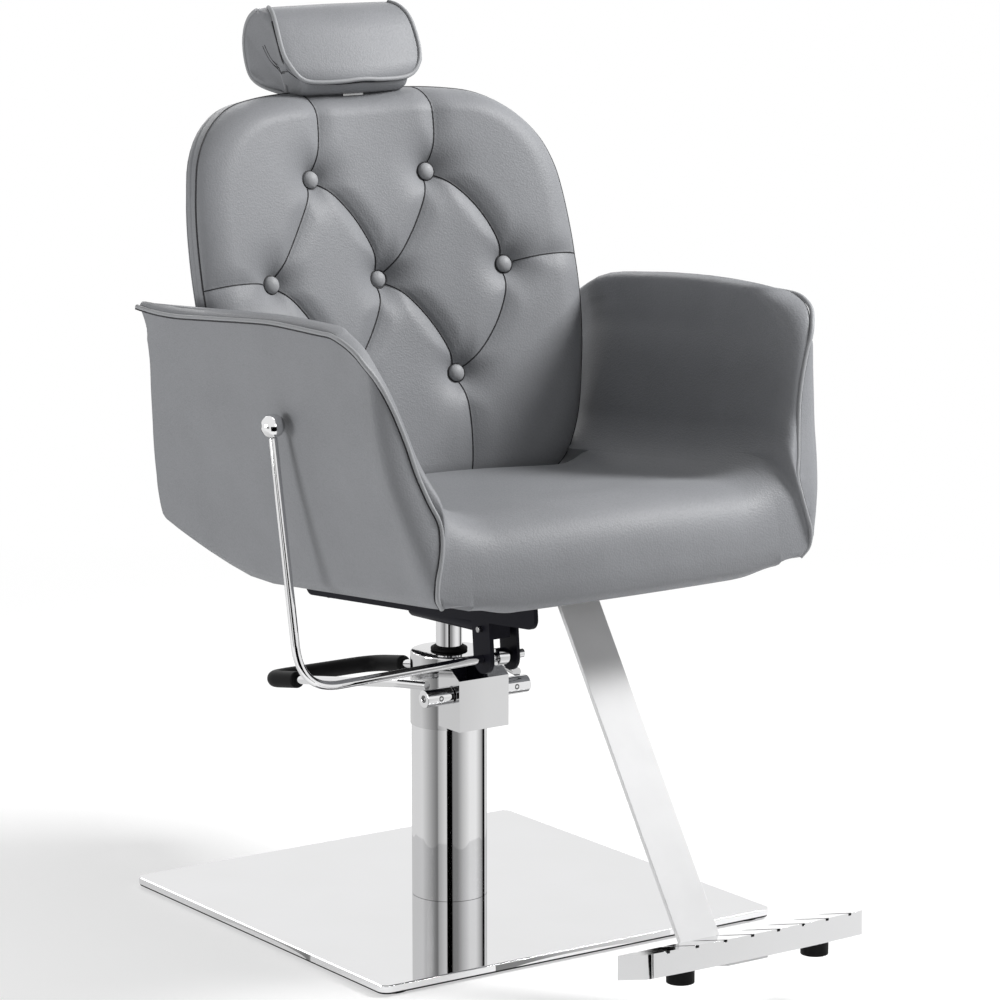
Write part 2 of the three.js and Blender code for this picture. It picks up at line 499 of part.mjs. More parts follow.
// A shaped panel of the back between two stand-offs from the wrapped surface, its edge drawn in by an inset.
function backPanel(inset, front, rear, roll = 0, sides = 44) {
  const place = (points, off) => points.map(({ x, z }) => new THREE.Vector3(x, wrap(x) + topFall(z) + off, z));
  const full = backOutline(sides, 0);
  const inner = (off) => [0.12, 0.38, 0.65, 0.88].map((share) => place(full.map((p) => p.clone().multiplyScalar(share)), off));
  const rim = (drawn, off) => place(backOutline(sides, inset + drawn), off);
  const edge = roll ? [rim(0, rear - roll), rim(0.3 * roll, rear - 0.3 * roll), rim(roll, rear)] : [rim(0, rear)];
  return loft([...inner(front), rim(0, front), ...edge, ...inner(rear).reverse()]);
}

const CUSHION_SIDES = 60;
const CUSHION_RINGS = 13;

function addBack() {
  const edge = backOutline(CUSHION_SIDES, 0);
  const front = Array.from({ length: CUSHION_RINGS }, (_, ring) => {
    const share = (ring + 0.35) / (CUSHION_RINGS - 0.65);
    return edge.map(({ x, z }) => {
      const [px, pz] = [x * share, z * share];
      const rim = Math.min(1, ((1 - share) * Math.hypot(x, z)) / BACK.edgeRoll);
      const full = Math.sqrt(1 - (1 - rim) ** 2);
      const off = THREE.MathUtils.lerp(BACK.seam + topFall(z), tuftDepth(px, pz) - BACK.crown, full);
      return new THREE.Vector3(px, wrap(px) + off, pz);
    });
  });
  const rear = edge.map(({ x, z }) => new THREE.Vector3(x, wrap(x) + topFall(z) + 2 * BACK.rear, z));
  const boardSide = backPanel(-GAP, BACK.rear, 4 * BACK.rear);
  const buttonSeat = ({ x, sunk }) => wrap(x) + BUTTON.seat + sunk;
  const pockets = BUTTONS.map((button) => {
    const floor = new THREE.Vector3(button.x, buttonSeat(button), button.z);
    return bar(floor, floor.clone().setY(-4 * BACK.crown), BUTTON.radius + GAP, 14);
  });
  const guideFront = GUIDE.y - GUIDE.depth / 2 - GAP;
  const groove = block(-GUIDE.half - GAP, GUIDE.half + GAP, guideFront, 4 * TOP_ROLL.depth, GUIDE.low - GAP,
    GUIDE.high + GAP);
  const postReach = POST.depth / 2 + POST.play;
  const postSlot = block(-POST.half - POST.play, POST.half + POST.play, GUIDE.y - postReach, GUIDE.y + postReach,
    GUIDE.high, 2 * GUIDE.high);
  add(back, "back_cushion", cut(loft([...front, rear]), boardSide, ...pockets, groove, postSlot), LEATHER);

  BUTTONS.forEach((button, i) => {
    const { radius, rim, dome } = BUTTON;
    const profile = [[0, GAP], [radius, GAP], [radius, rim], [radius * 0.8, rim + dome * 0.6], [radius * 0.4, rim + dome * 0.93]];
    const shape = turned([...profile, [0, rim + dome]], 14).rotateX(Math.PI / 2);
    add(back, `tuft_button_${i + 1}`, shape.translate(button.x, buttonSeat(button), button.z), LEATHER);
  });

  const boardFront = BACK.rear + 3 * GAP;
  const boardRear = boardFront + BACK_BOARD.thickness;
  const coverRear = boardFront + COVER.thickness;
  add(back, "back_board", backPanel(BACK_BOARD.inset, boardFront, boardRear), PLYWOOD);
  const pocket = backPanel(BACK_BOARD.inset - GAP, boardFront - 2, boardRear + GAP);
  add(back, "back_cover", cut(backPanel(COVER.inset, boardFront, coverRear, COVER.roll), pocket), LEATHER);

  const plateFront = coverRear + GAP;
  const plateRear = plateFront + BRACKET.plateThickness;
  const pivot = seatToBack(PIVOT.y, PIVOT.z);
  const gasPin = seatToBack(PIVOT.y, PIVOT.z - GAS.arm);
  const plate = block(-BRACKET.half, BRACKET.half, plateFront, plateRear, BRACKET.plateLow, BRACKET.plateHigh);
  const cheeks = [-1, 1].map((side) => {
    const x0 = side * BRACKET.x - BRACKET.thickness / 2;
    const x1 = x0 + BRACKET.thickness;
    const upper = linkPlate([{ y: pivot.y, z: pivot.z, r: PIVOT.boss - 2 }, { y: plateFront + 3, z: BRACKET.plateLow + 3, r: 3 },
      { y: plateFront + 3, z: BRACKET.plateHigh - 3, r: 3 }, { y: plateRear + 6, z: BRACKET.plateHigh - 9, r: 3 }], x0, x1);
    const lower = linkPlate([{ y: pivot.y, z: pivot.z, r: PIVOT.boss - 2 }, { y: gasPin.y, z: gasPin.z, r: GAS.eyeRadius }], x0, x1);
    return join(upper, lower);
  });
  const pinBore = barAlongX(-2 * BRACKET.x, 2 * BRACKET.x, pivot.y, pivot.z, PIVOT.radius + RUNNING, 20);
  const gasBore = barAlongX(-2 * BRACKET.x, 0, gasPin.y, gasPin.z, GAS.pinRadius + GAP, 16);
  add(back, "back_bracket", cut(join(plate, ...cheeks), pinBore, gasBore), BLACK_STEEL);
  const pinInner = GAS.x + GAS.eyeWidth / 2 + 3;
  add(back, "gas_rear_pin", barAlongX(-BRACKET.x - BRACKET.thickness / 2 - 1, pinInner, gasPin.y, gasPin.z, GAS.pinRadius, 16), STEEL);
}

// Side profile of the pillow from its crest down the front, [depth, height] on the back.
const PILLOW_PROFILE = [[29, 372], [14, 365], [2, 353], [-6, 336], [-11, 314], [-15, 292], [-18, 275], [-17, 263], [-8, 256],
  [10, 255], [30, 259], [50, 266], [66, 277], [76, 296], [79, 318], [75, 342], [62, 361], [45, 370]];
const PILLOW_FRONT = Math.min(...PILLOW_PROFILE.map(([y]) => y));
const PILLOW_STATIONS = [[-110, 0.87], [-108, 0.95], [-99, 0.985], [-72, 1], [-36, 1.005], [0, 1.01], [36, 1.005], [72, 1],
  [99, 0.985], [108, 0.95], [110, 0.87]].map(([x, size]) => ({ x, size }));

// Headrest: a flat post sliding in a guide in the back, and its pillow.
function addHeadrest() {
  const outer = block(-GUIDE.half, GUIDE.half, GUIDE.y - GUIDE.depth / 2, GUIDE.y + GUIDE.depth / 2, GUIDE.low, GUIDE.high);
  const slotHalf = POST.half + RUNNING;
  const slotDepth = POST.depth / 2 + RUNNING;
  const slot = block(-slotHalf, slotHalf, GUIDE.y - slotDepth, GUIDE.y + slotDepth, GUIDE.low - 1, GUIDE.high + 1);
  add(back, "headrest_guide", cut(outer, slot), STEEL);

  const strip = block(-POST.half, POST.half, GUIDE.y - POST.depth / 2, GUIDE.y + POST.depth / 2, POST.low, POST.high);
  add(back, "headrest_post", strip, CHROME);

  // Each station of the pillow is its side profile, smaller towards the ends and fuller in the middle of the front.
  const middle = PILLOW_PROFILE.reduce(([sy, sz], [y, z]) => [sy + y / PILLOW_PROFILE.length, sz + z / PILLOW_PROFILE.length], [0, 0]);
  const rings = PILLOW_STATIONS.map(({ x, size }) =>
    PILLOW_PROFILE.map(([y, z]) => {
      const front = Math.max(0, (middle[0] - y) / (middle[0] - PILLOW_FRONT));
      const crown = PILLOW.bulge * front * (1 - (x / PILLOW.half) ** 2);
      const tuck = PILLOW.cornerTuck * THREE.MathUtils.clamp((PILLOW.cornerStart - z) / PILLOW.cornerReach, 0, 1) ** 2;
      const [dy, dz] = [(y - middle[0]) * size, (z - middle[1]) * size];
      return new THREE.Vector3(x * (1 - tuck), middle[0] + dy - crown, middle[1] + dz);
    }),
  );
  const slotBottom = middle[1] - 2 * PILLOW.half;
  const pocket = block(-POST.half - GAP, POST.half + GAP, GUIDE.y - POST.depth / 2 - GAP, GUIDE.y + POST.depth / 2 + GAP,
    slotBottom, POST.high + GAP);
  add(back, "headrest_pillow", cut(loft(rings), pocket), LEATHER);
}

// The tub. Sections of an arm by height share t: the piped front edge, where its inner face starts, and its rear edge.
const ARM_STATIONS = [
  { t: 0, front: -392, edge: 270, inner: -376, rear: 198 },
  { t: 0.05, front: -399, edge: 281, inner: -392, rear: 211 },
  { t: 0.14, front: -402, edge: 277, inner: -396, rear: 214 },
  { t: 0.24, front: -400, edge: 270, inner: -380, rear: 209 },
  { t: 0.3, front: -396, edge: 268, inner: -356, rear: 206 },
  { t: 0.39, front: -388, edge: 277, inner: -342, rear: 200 },
  { t: 0.49, front: -379, edge: 286, inner: -340, rear: 192 },
  { t: 0.63, front: -372, edge: 297, inner: -340, rear: 181 },
  { t: 0.785, front: -366, edge: 316, inner: -342, rear: 168 },
  { t: 0.88, front: -364, edge: 331, inner: -338, rear: 165 },
  { t: 0.95, front: -356, edge: 341, inner: -330, rear: 167 },
  { t: 1, front: -318, edge: 345, inner: -300, rear: 173 },
];

const armBottom = (y) => ARM.bottom + (y > 0 ? 60 * (y / 208) ** 1.3 : 0);
// The right arm ends in a raised tip at the rear; the left one falls away there.
const REAR_END = { start: 50, length: 118, rightRise: 10, leftDrop: -46 };
const armTop = (y, side) => {
  const crest = 386 + 13 * THREE.MathUtils.smoothstep(y, -330, -120);
  const change = side > 0 ? REAR_END.leftDrop : REAR_END.rightRise;
  return crest + change * (Math.max(0, y - REAR_END.start) / REAR_END.length) ** 2;
};

// Inner face of the tub at a height: the side of the seat, a fillet, then a wall that leans outwards.
function innerX(z) {
  const rise = z - SEAT.top;
  const bend = FILLET.radius - Math.sqrt(FILLET.radius ** 2 - (SEAT.half + GAP - FILLET.start) ** 2);
  if (rise <= bend) return SEAT.half + GAP;
  const low = 0.62 * FILLET.radius;
  const reach = (h) => FILLET.start + Math.sqrt(FILLET.radius ** 2 - (FILLET.radius - h) ** 2);
  if (rise < low) return reach(rise);
  const share = THREE.MathUtils.clamp((z - SEAT.top - low) / (ARM.upperInnerHeight - SEAT.top - low), 0, 1);
  return THREE.MathUtils.lerp(reach(low), ARM.upperInner, share);
}

function outerX(z, share) {
  const height = z - ARM.bottom;
  return ARM.baseX + ARM.rise * height + THREE.MathUtils.lerp(BELLY.front, BELLY.rear, Math.sqrt(share)) * Math.sin((height / BELLY.height) * Math.PI);
}

const rounding = (distance, reach) => Math.sqrt(1 - (1 - Math.min(1, distance / reach)) ** 2);

// An arm as level rings: along the outer panel from the front piping to the rear, and back along the inner face.
function armGeometry(side) {
  const outerSteps = [0, 0.004, 0.015, 0.032, 0.055, 0.15, 0.32, 0.5, 0.7, 0.86, 0.96, 1];
  const innerSteps = [0.985, 0.92, 0.78, 0.6, 0.4, 0.2, 0.08, 0];
  const noseSteps = [0.7, 0.4, 0.15];
  const rings = ARM_STATIONS.map(({ t, front, edge, inner, rear }) => {
    const heightAt = (y) => THREE.MathUtils.lerp(armBottom(y), armTop(y, side), t);
    const hem = HEM.tuck * Math.max(0, 1 - t / HEM.share);
    const outerAt = (share) => {
      const y = THREE.MathUtils.lerp(front, rear, share);
      const x = THREE.MathUtils.lerp(edge, outerX(heightAt(y), share) - hem, rounding(y - front, NOSE));
      return new THREE.Vector3(side * x, y, heightAt(y));
    };
    const innerLimit = (y, share) => {
      const relief = ARM.rearRelief * THREE.MathUtils.smoothstep(y, 0.6 * SEAT.rear, 2 * SEAT.rear);
      return Math.max(SEAT.half + GAP, Math.min(innerX(heightAt(y)) + relief, outerX(heightAt(y), share) - hem - 14));
    };
    const lift = t === 1 ? ARM.topBow : 0;
    const innerAt = (share) => {
      const y = THREE.MathUtils.lerp(inner, rear, share);
      return new THREE.Vector3(side * innerLimit(y, share), y, heightAt(y) + lift);
    };
    const noseAt = (share) => {
      const y = THREE.MathUtils.lerp(front, inner, share);
      const x = THREE.MathUtils.lerp(edge, innerLimit(inner, 0), share ** 0.8);
      return new THREE.Vector3(side * x, y, heightAt(y) + lift * share);
    };
    return [...outerSteps.map(outerAt), ...innerSteps.map(innerAt), ...noseSteps.map(noseAt)];
  });
  return loft(rings);
}

// Seat: one crowned panel that rolls over the front edge, on the board.
function seatGeometry() {
  const stations = 13;
  const rings = Array.from({ length: stations }, (_, i) => {
    const x = THREE.MathUtils.lerp(-SEAT.half, SEAT.half, i / (stations - 1));
    const share = Math.abs(x) / SEAT.half;
    const bottom = RAIL.height + GAP + SEAT.sideLift * THREE.MathUtils.smoothstep(Math.abs(x), BOARD.half, SEAT.half);
    const fillet = Math.abs(x) > FILLET.start ? FILLET.radius - Math.sqrt(FILLET.radius ** 2 - (Math.abs(x) - FILLET.start) ** 2) : 0;
    const top = SEAT.top + fillet + SEAT.crown * (1 - share ** 2);
    const bulge = 12 * (1 - share ** 2);
    const front = -396 - bulge;
    const rear = SEAT.rear + wrap(x);
    return [[rear, bottom], [rear, top - 3 * SEAT.rearRound], [rear - 3, top - SEAT.rearRound],
      [rear - SEAT.rearRound, top - 4], [rear - 3 * SEAT.rearRound, top], [-120, top], [-260, top], [-338, top - 2],
      [-368, top - 10], [front + 10, top - 26], [front, top - 50], [front - 3, 96], [front, 74], [front + 8, 56], [front + 24, bottom],
      [-300, bottom], [-140, bottom]].map(([y, z]) => new THREE.Vector3(x, y, z));
  });
  return loft(rings);
}

function addTub() {
  const half = BOARD.half + GAP;
  const recess = block(-half, half, BOARD.front - GAP, SEAT.rear + 1, RAIL.height - 1, RAIL.height + BOARD.thickness + 2 * GAP);
  add(seat, "seat_cushion", cut(seatGeometry(), recess), LEATHER);
  add(seat, "arm_right", armGeometry(-1), LEATHER);
  add(seat, "arm_left", armGeometry(1), LEATHER);
}

// Footrest: a flat bar bolted under the seat board, bent under a grooved tread on two rubber feet.
function addFootrest() {
  const under = RAIL.height - BAR.thickness / 2;
  const at = (y, z) => seat.localToWorld(new THREE.Vector3(0, y, z));
  const treadBottom = (y) => TREAD.rearTop + TREAD.slope * (TREAD.rear - y) - TREAD.height;
  const toe = (y) => new THREE.Vector3(0, y, treadBottom(y) - GAP - BAR.thickness / 2);
  const route = [at(BAR.rearEnd, under), at(BAR.bendY, under), new THREE.Vector3(0, BAR.footY, BAR.footZ), toe(BAR.footY - 22), toe(BAR.toe)];
  const path = roundedPath(route, BAR.bend, 5);
  const rings = path.map((point, i) => {
    const along = new THREE.Vector3().subVectors(path[Math.min(i + 1, path.length - 1)], path[Math.max(i - 1, 0)]).normalize();
    const normal = new THREE.Vector3(0, -along.z, along.y).multiplyScalar(BAR.thickness / 2);
    return [[-1, -1], [1, -1], [1, 1], [-1, 1]].map(([x, n]) => new THREE.Vector3(x * BAR.half, point.y + n * normal.y, point.z + n * normal.z));
  });
  add(chair, "footrest_bar", loft(rings), CHROME);

  const outline = new THREE.Shape();
  const { half, corner } = TREAD;
  const frontEdge = -TREAD.front;
  const rearEdge = -TREAD.rear;
  outline.moveTo(-half, rearEdge).lineTo(half, rearEdge).lineTo(half, frontEdge - corner);
  outline.quadraticCurveTo(half, frontEdge, half - corner, frontEdge + 1);
  outline.quadraticCurveTo(0, frontEdge + 2 * TREAD.bow - 1, corner - half, frontEdge + 1);
  outline.quadraticCurveTo(-half, frontEdge, -half, frontEdge - corner);
  const slab = new THREE.ExtrudeGeometry(outline, { depth: TREAD.height, bevelEnabled: false, curveSegments: 12 })
    .applyMatrix4(new THREE.Matrix4().set(1, 0, 0, 0, 0, -1, 0, 0, 0, TREAD.slope, -1, TREAD.rearTop + TREAD.slope * TREAD.rear, 0, 0, 0, 1));
  const grooves = Array.from({ length: GROOVE.count }, (_, i) => {
    const x = (i - (GROOVE.count - 1) / 2) * GROOVE.pitch;
    const length = 2 * (TREAD.rear - TREAD.front);
    return block(x - GROOVE.width / 2, x + GROOVE.width / 2, -length, length, -GROOVE.depth, 4 * GROOVE.depth)
      .rotateX(-Math.atan(TREAD.slope))
      .translate(0, TREAD.rear, TREAD.rearTop);
  });
  add(chair, "footrest_tread", cut(slab, ...grooves), CHROME);
  [["right", -1], ["left", 1]].forEach(([name, side]) => {
    const top = treadBottom(TREAD_FOOT.y) - GAP;
    const foot = post(side * TREAD_FOOT.x, TREAD_FOOT.y, top - TREAD_FOOT.height, top + TREAD_FOOT.radius, TREAD_FOOT.radius, 24);
    const above = block(-half, half, 0, 200, 0, 60)
      .rotateX(-Math.atan(TREAD.slope))
      .translate(0, TREAD_FOOT.y, top)
      .translate(0, -100, 100 * TREAD.slope);
    add(chair, `footrest_foot_${name}`, cut(foot, above), RUBBER);
  });
}

addBase();
addColumn();
addPedal();
addCarriage();
addLever();
addGasSpring();
addBack();
addHeadrest();
addTub();
addFootrest();

export default chair;
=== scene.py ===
"""The looks of a hydraulic barber chair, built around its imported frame. Lengths in metres."""

from math import atan2, cos, exp, hypot, pi, radians, sin, sqrt, tan

import bmesh
import bpy
import numpy as np
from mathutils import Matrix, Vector
from mathutils.bvhtree import BVHTree


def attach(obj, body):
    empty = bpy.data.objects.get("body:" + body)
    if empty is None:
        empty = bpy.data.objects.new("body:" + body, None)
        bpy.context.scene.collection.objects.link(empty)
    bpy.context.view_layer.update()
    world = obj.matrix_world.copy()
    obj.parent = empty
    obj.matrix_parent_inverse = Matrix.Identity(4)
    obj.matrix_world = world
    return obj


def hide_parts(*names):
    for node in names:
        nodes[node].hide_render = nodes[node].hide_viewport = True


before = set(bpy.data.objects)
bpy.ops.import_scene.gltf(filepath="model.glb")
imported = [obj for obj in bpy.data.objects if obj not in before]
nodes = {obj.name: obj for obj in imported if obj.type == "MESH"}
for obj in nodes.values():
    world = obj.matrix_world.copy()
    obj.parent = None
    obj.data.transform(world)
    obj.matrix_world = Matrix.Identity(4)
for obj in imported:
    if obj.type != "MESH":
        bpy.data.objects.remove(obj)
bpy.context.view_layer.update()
scene = bpy.context.scene


# Studio: a floor that fades into a white surround, soft boxes above and to the sides, and
# cards round the column that only bright metal shows. The camera stands a little above the
# seat, in front of the sitter's right arm.
scene.view_settings.view_transform = "Standard"


class Value:
    """A node's output that Python operators work on: each one adds a Math node."""

    def __init__(self, graph, socket):
        self.graph, self.socket = graph, socket

    def math(self, operation, *values):
        return self.graph.node("Math", dict(enumerate(values)), {"operation": operation})

    def __add__(self, other):
        return self.math("ADD", self, other)

    def __sub__(self, other):
        return self.math("SUBTRACT", self, other)

    def __rsub__(self, other):
        return self.math("SUBTRACT", other, self)

    def __mul__(self, other):
        return self.math("MULTIPLY", self, other)

    def __truediv__(self, other):
        return self.math("DIVIDE", self, other)

    def __lt__(self, other):
        return self.math("LESS_THAN", self, other)

    def __gt__(self, other):
        return self.math("GREATER_THAN", self, other)

    __radd__ = __add__
    __rmul__ = __mul__

    def clip(self):
        return self.math("MINIMUM", self.math("MAXIMUM", self, 0.0), 1.0)


class Graph:
    """A node tree of one family, such as ShaderNode, that grows one node at a time."""

    def __init__(self, tree, family):
        self.tree, self.family = tree, family

    def node(self, kind, sockets=None, settings=None, out=0):
        """One node, and one of its outputs. A socket takes a number, a colour or a Value."""
        made = self.tree.nodes.new(kind if "Node" in kind else self.family + kind)
        for name, setting in (settings or {}).items():
            if name == "stops":
                ramp = made.color_ramp
                while len(ramp.elements) < len(setting):
                    ramp.elements.new(1.0)
                for element, (position, color) in zip(ramp.elements, setting):
                    element.position, element.color = position, color
            else:
                setattr(made, name, setting)
        self.feed(made, sockets or {})
        return Value(self, made.outputs[out])

    def feed(self, made, sockets):
        for name, value in sockets.items():
            if isinstance(value, Value):
                self.tree.links.new(value.socket, made.inputs[name])
            else:
                made.inputs[name].default_value = value


class Finish(Graph):
    """The nodes of a new material."""

    MIX_FACTOR, MIX_FIRST, MIX_SECOND, MIX_COLOR = 0, 6, 7, 2

    def __init__(self, name):
        self.material = bpy.data.materials.new(name)
        self.material.use_nodes = True
        super().__init__(self.material.node_tree, "ShaderNode")

    def place(self):
        return self.node("TexCoord", out="Object")

    def noise(self, scale, detail=2.0, roughness=0.5):
        sockets = {"Vector": self.place(), "Scale": scale, "Detail": detail, "Roughness": roughness}
        return self.node("TexNoise", sockets)

    def blend(self, factor, first, second):
        sockets = {self.MIX_FACTOR: factor, self.MIX_FIRST: first, self.MIX_SECOND: second}
        return self.node("Mix", sockets, {"data_type": "RGBA"}, self.MIX_COLOR)

    def bump(self, height, strength, distance):
        sockets = {"Height": height, "Strength": strength, "Distance": distance}
        return self.node("Bump", sockets)

    def glow(self, color, strength=1.0):
        return self.node("Emission", {"Color": color, "Strength": strength})

    def coat(self, color, roughness, **others):
        """Feeds the material's own shader and returns the material."""
        sockets = {"Base Color": color, "Roughness": roughness, **others}
        self.feed(self.tree.nodes["Principled BSDF"], sockets)
        return self.material

    def show(self, shader):
        """Puts another shader in the place of the material's own, and returns the material."""
        self.tree.nodes.remove(self.tree.nodes["Principled BSDF"])
        self.feed(self.tree.nodes["Material Output"], {"Surface": shader})
        return self.material


def put(name, data):
    """A new object in the scene."""
    thing = bpy.data.objects.new(name, data)
    scene.collection.objects.link(thing)
    return thing


def mesh_of(name, points, edges, faces):
    mesh = bpy.data.meshes.new(name)
    mesh.from_pydata(points, edges, faces)
    return mesh


def look(thing, place, target):
    thing.location = place
    thing.rotation_mode = "QUATERNION"
    thing.rotation_quaternion = (place - target).to_track_quat("Z", "Y")


AZIMUTH, ELEVATION = radians(-34.8107), radians(10.7557)
CAMERA_DISTANCE, AIM_ASIDE, AIM_HEIGHT = 5.41232, 0.06612, 0.53701
SENSOR_WIDTH_MM, FOCAL_LENGTH_MM = 36.0, 151.2
level = cos(ELEVATION)
image_right = Vector((cos(AZIMUTH), sin(AZIMUTH), 0.0))
to_camera = Vector((image_right.y * level, -image_right.x * level, sin(ELEVATION)))
aim = AIM_ASIDE * image_right + Vector((0.0, 0.0, AIM_HEIGHT))
camera = put("camera", bpy.data.cameras.new("camera"))
camera.data.sensor_width, camera.data.lens = SENSOR_WIDTH_MM, FOCAL_LENGTH_MM
look(camera, aim + CAMERA_DISTANCE * to_camera, aim)
scene.camera = camera


def grey(tone, blue=None):
    return (tone, tone, tone if blue is None else blue, 1.0)


AMBIENT = 0.12
scene.world = bpy.data.worlds.new("studio")
scene.world.use_nodes = True
surround = Graph(scene.world.node_tree, "ShaderNode")
kinds = ("Camera", "Glossy", "Transmission")
rays = [surround.node("LightPath", out=f"Is {kind} Ray") for kind in kinds]
direct = (rays[0] + rays[1] + rays[2]).clip()
strength = direct + (1.0 - direct) * AMBIENT
surround.feed(surround.tree.nodes["Background"], {"Color": grey(1.0), "Strength": strength})

BOX_AIM = Vector((0.0, 0.0, 0.6))
for name, place, size, power in (
    ("box_upper_right", (2.1, -1.3, 2.7), (0.9, 0.9), 150.0),
    ("box_overhead", (0.1, -0.5, 3.2), (1.2, 1.0), 11.0),
    ("box_front", (-0.4, -3.6, 1.5), (1.2, 1.2), 7.0),
    ("box_left", (-3.0, 0.3, 0.8), (1.2, 1.0), 40.0),
    ("box_behind", (0.6, 2.8, 2.2), (1.8, 1.2), 26.0),
):
    light = bpy.data.lights.new(name, "AREA")
    light.shape, light.size, light.size_y = "RECTANGLE", *size
    light.energy = power
    look(put(name, light), Vector(place), BOX_AIM)

FLOOR_HALF, FLOOR_PAINT, FLOOR_LIFT = 40.0, 0.5, 0.54
FADE_FROM, FADE_OVER = 0.9, 1.6
corners = [(FLOOR_HALF * x, FLOOR_HALF * y, 0) for x, y in ((-1, -1), (1, -1), (1, 1), (-1, 1))]
floor_mesh = mesh_of("floor", corners, [], [(0, 1, 2, 3)])
ground = Finish("white_floor")
away = ground.node("VectorMath", {0: ground.place()}, {"operation": "LENGTH"}, "Value")
fade = ((away - FADE_FROM) * (1.0 / FADE_OVER)).clip()
paint = ground.node("BsdfDiffuse", {"Color": grey(FLOOR_PAINT)})
lit = ground.node("AddShader", {0: paint, 1: ground.glow(grey(1.0), FLOOR_LIFT)})
faded = ground.node("MixShader", {0: fade, 1: lit, 2: ground.glow(grey(1.0))})
floor_mesh.materials.append(ground.show(faded))
put("floor", floor_mesh)


def card(name, points, faces, shade):
    """A studio card that only bright metal shows, from its front and not in the base plate.

    The plate sends the camera's rays upwards, everything upright sends them on downwards.
    """
    finish = Finish(name)
    incoming = finish.node("NewGeometry", out="Incoming")
    rising = finish.node("SeparateXYZ", {0: incoming}, out="Z") * -1.0
    behind = finish.node("NewGeometry", out="Backfacing")
    first = finish.node("LightPath", out="Ray Depth") < 1.5
    unseen = ((rising > 0.0) * first + behind).clip()
    clear = finish.node("BsdfTransparent")
    sockets = {0: unseen, 1: finish.glow(shade(finish)), 2: clear}
    mesh = mesh_of(name, points, [], faces)
    mesh.materials.append(finish.show(finish.node("MixShader", sockets)))
    thing = put(name, mesh)
    thing.visible_camera = thing.visible_diffuse = False
    thing.visible_transmission = thing.visible_shadow = False


# A painted wrap stands round the column: its tones by the turn from the camera, in degrees.
WRAP_TONES = [
    (-180, 0.3), (-150, 0.75), (-124, 0.8), (-85, 0.82), (-36, 0.23), (-33, 0.24), (-30, 0.5),
    (-12, 0.78), (-7, 0.8), (-6, 0.0), (9, 0.0), (10, 0.26), (24, 0.3), (39, 0.62), (62, 0.98),
    (84, 1.0), (104, 0.6), (112, 0.4), (119, 0.0), (130, 0.0), (134, 0.9), (180, 0.3),
]
WRAP_RADIUS, WRAP_HEIGHT, WRAP_SIDES = 0.33, 0.42, 180
camera_turn = atan2(to_camera.y, to_camera.x)


def wrap_shade(finish):
    place = finish.place()
    x, y = (finish.node("SeparateXYZ", {0: place}, out=axis) for axis in "XY")
    ahead = x * cos(camera_turn) + y * sin(camera_turn)
    aside = y * cos(camera_turn) - x * sin(camera_turn)
    turn = aside.math("ARCTAN2", aside, ahead) / (2 * pi) + 0.5
    stops = [(degrees / 360 + 0.5, grey(tone)) for degrees, tone in WRAP_TONES]
    return finish.node("ValToRGB", {"Fac": turn}, {"stops": stops})


wrap_points, wrap_faces = [], []
for side in range(WRAP_SIDES):
    turn = 2 * pi * side / WRAP_SIDES
    x, y = WRAP_RADIUS * cos(turn), WRAP_RADIUS * sin(turn)
    wrap_points += [(x, y, 0.0), (x, y, WRAP_HEIGHT)]
    wrap_faces.append([(2 * side + step) % (2 * WRAP_SIDES) for step in (0, 1, 3, 2)])
card("painted_wrap", wrap_points, wrap_faces, wrap_shade)


def flag(name, turn, distance, width, low, high, tone=0.0, around=(0.0, 0.0)):
    """An upright card that stands `turn` degrees round from the camera and faces the chair."""
    angle = camera_turn + radians(turn)
    outward = Vector((cos(angle), sin(angle), 0.0))
    middle = Vector((*around, 0.0)) + distance * outward
    across = Vector((-outward.y, outward.x, 0.0)) * width / 2
    top, foot = Vector((0.0, 0.0, high)), Vector((0.0, 0.0, low))
    corners = [middle - across + foot, middle - across + top, middle + across + top, middle + across + foot]
    card(name, corners, [(0, 1, 2, 3)], lambda finish: grey(tone))


flag("flag_front", 7.0, 2.3, 0.5, 0.1, 2.6)
flag("flag_front_left", -42.0, 2.3, 0.9, 0.1, 2.2, 0.3)
flag("flag_right", 96.0, 2.2, 0.4, 0.1, 2.4)
flag("flag_left", -118.0, 2.2, 0.35, 0.1, 2.4)
flag("flag_lever", 16.0, 0.7, 0.8, 0.0, 1.3, 0.0, (-0.34, -0.13))
flag("flag_rear_left", -150.0, 1.0, 1.0, 0.0, 1.3, 0.03)
flag("flag_rear_right", 150.0, 1.0, 1.0, 0.0, 1.3, 0.03)
flag("flag_tread", 44.0, 0.3, 0.06, 0.0, 0.13, 0.0, (-0.163, -0.64))


# Base: a square mirror-polished steel plate on a rubber underlay, with a rubber pad under
# each corner and one in the middle. The plate's edges are broken and polished.
def geometry_graph(name, inputs):
    """A geometry nodes tree, and its inputs: a mesh first, then the named ones."""
    tree = bpy.data.node_groups.new(name, "GeometryNodeTree")
    for label, kind in {"Geometry": "Geometry", **inputs}.items():
        tree.interface.new_socket(label, in_out="INPUT", socket_type="NodeSocket" + kind)
    tree.interface.new_socket("Geometry", in_out="OUTPUT", socket_type="NodeSocketGeometry")
    graph = Graph(tree, "GeometryNode")
    start = tree.nodes.new("NodeGroupInput")
    return graph, [Value(graph, socket) for socket in start.outputs[: len(inputs) + 1]]


def shaded(graph, shape, domain="FACE", **sockets):
    sockets = {"Geometry": shape, "Shade Smooth": True, **sockets}
    return graph.node("SetShadeSmooth", sockets, {"domain": domain})


